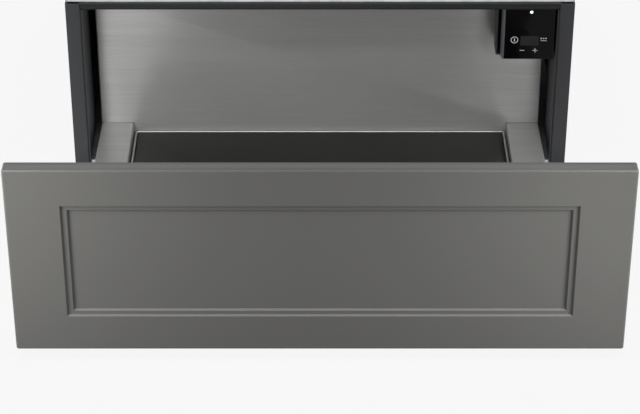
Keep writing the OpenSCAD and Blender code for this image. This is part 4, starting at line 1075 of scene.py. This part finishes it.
leads = {
    "ribbonWidth": 9.0 * mm, "ribbonThick": 2.0 * mm, "coreStep": 3.2 * mm, "ribbonBend": 9.0 * mm,
    "turnBack": 55.5 * mm,  # from the cross run to the ribbon's rear end
    "riser": (3.0 * mm, 1.4 * mm, 1.0 * mm),  # half width, half thickness and rounding
    "riserInset": 4.5 * mm, "riserLift": 0.5 * mm,
    "cableRadius": 2.0 * mm, "cableBend": 4.5 * mm,
    "exitDown": 14.0 * mm, "exitBeside": 5.0 * mm,  # where the cable turns up beside the power box
}


def leadPieces():
    # three-core ribbon on the casing floor: lobed section carried along the straight runs and their bends
    s = leads
    lo, hi = corners("heater_lead")
    x0, x1, yTurn = hi[0] - s["ribbonWidth"] / 2, lo[0] + s["ribbonWidth"] / 2, hi[1] - s["turnBack"]
    core = s["ribbonThick"] / 2
    lobe = np.linspace(0, math.pi, 9)[1:-1]
    lobe = core * np.stack([0.98 * np.cos(lobe), np.sin(lobe)], 1)
    tops = np.concatenate([lobe + [k * s["coreStep"], 0] for k in (1, 0, -1)])
    z = lo[2] + core
    path = filleted([(x0, lo[1], z), (x0, yTurn, z), (x1, yTurn, z), (x1, hi[1], z)], s["ribbonBend"], 10)
    dense = np.concatenate([np.linspace(path[0], path[1], 24)[:-1], path[1:]])
    end = hi[1] - s["riserInset"]
    shapes = [tubeAlong(dense, np.concatenate([tops, -tops])),
              tubeAlong([(x1, end, z + s["riserLift"]), (x1, end, hi[2])], roundRect(*s["riser"]))]
    makePiece("heater_lead", "lead_silicone", shapes)
    # round cable up from the power box, across and along under the top sheet and down into the control unit
    lo, hi = corners("control_lead")
    boxHi, r = corners("power_box")[1], s["cableRadius"]
    rear, top, side, ahead = hi[1] - r, hi[2] - r, hi[0] - r, lo[1] + r
    low, beside = boxHi[2] - s["exitDown"], boxHi[0] + s["exitBeside"]
    end = corners("control_housing")[1][2]
    path = filleted([(lo[0], rear, low), (beside, rear, low), (beside, rear, top), (side, rear, top),
                     (side, ahead, top), (side, ahead, end)], s["cableBend"], 6)
    makePiece("control_lead", "lead_black", [tubeAlong(path, circle(r, 16))])


powerBoard = {  # in millimetres, from the board's lower left corner
    "thick": 1.6, "edge": 0.3, "sunk": 0.1,
    "parts": [  # material, place, width, height, depth and rounding
        ("chip_black", 65, 35, 28, 24, 18, 1.0), ("heater_foil", 68, 38, 22, 18, 18, 0.4),
        ("relay_blue", 29, 39, 18, 22, 14, 0.8), ("white_plastic", 85, 3, 34, 12, 12, 0.6),
        ("chip_black", 8, 10, 9, 7, 2, 0.4), ("chip_black", 24, 12, 6, 6, 1.6, 0.4),
        ("white_plastic", 8, 40, 12, 5, 5, 0.4)],
    "rows": [  # the same for the first of a row, with the row's step and count
        ("fastener", 88, 5.5, 4.2, 6, 12, 0.4, 8.2, 4),
        ("aluminium_plate", 40, 8, 1.0, 20, 11, 0.2, 2.6, 9)],
    "canPlace": (107, 47),  # and its profile as radius and height
    "can": [(6, 0), (6, 1.2), (5.6, 1.6), (6, 2.0), (6, 16), (5.4, 16.8), (0.3, 16.8)],
}


def powerBoardPiece():
    # board with transformer, relay, capacitor, terminal block, fuse, chips and a finned cooler
    s = powerBoard
    lo, hi = corners("power_board")
    face = hi[1] - s["thick"] * mm
    parts = s["parts"] + [(kind, u + step * k, *rest) for kind, u, *rest, step, count in s["rows"]
                          for k in range(count)]
    shapes = [block((lo[0], face, lo[2]), hi, s["edge"] * mm)]
    for _, u, v, w, h, deep, soft in parts:
        start = np.array([lo[0] + u * mm, face - deep * mm, lo[2] + v * mm])
        shapes.append(block(start, start + np.array([w, deep + s["sunk"], h]) * mm, soft * mm))
    (u, v), can = s["canPlace"], [(r * mm, -d * mm) for r, d in s["can"]]
    shapes.append(turnedShape(can, (lo[0] + u * mm, face, lo[2] + v * mm), "y", 28))
    makePiece("power_board", ["circuit_board"] + [kind for kind, *_ in parts] + ["chip_black"], shapes)


frontPiece()
innerPanelPiece()
rimPieces()
glassPieces()
bufferPieces()
print("drawer pieces ready")
controlPieces()
print("control unit ready")
screwPieces()
footPieces()
inletPiece()
springPiece()
leadPieces()
powerBoardPiece()
print("hardware and wiring ready")

sheets = {  # material of every sheet, rubber and moulding that keeps its CAD shape
    "back_wall": "stainless", "drawer_tray": "galvanised", "front_rail": "rail_black",
    "casing_top": "galvanised", "casing_base": "galvanised", "casing_back": "galvanised",
    # the front seal's black strips are rubber and also stand as painted shade for the gaps beside the posts
    # and under the rail
    "power_box": "galvanised", "front_seal": "seal_rubber", "lead_grommet": "foot_rubber",
    "latch_body": "black_plastic", "latch_plunger": "white_plastic",
}
pairs = {  # the same for left and right ones, and the axis of their drawn lines
    "front_bracket": ("zinc_bracket", 0), "back_bracket": ("zinc_bracket", 0),
    "runner_bracket": ("zinc_bracket", 0), "runner_inner": ("runner_steel", 1),
    "runner_middle": ("runner_steel", 1), "runner_outer": ("runner_steel", 1),
    # the casing sides' dark anthracite is painted shade for the enclosed gap beside the drawer
    "front_post": ("anthracite", 0), "casing_side": ("anthracite", 0),
}
for node, material in sheets.items():
    softened(node, material)
for side in ("left", "right"):
    for stem, (material, grain) in pairs.items():
        softened(stem + "_" + side, material, grain)
print("sheets and runners ready")

for name in [n for n, node in nodes.items() if not node.hide_render]:
    softened(name, slotOf[name], bevel=0.0)
print("inner pieces ready")
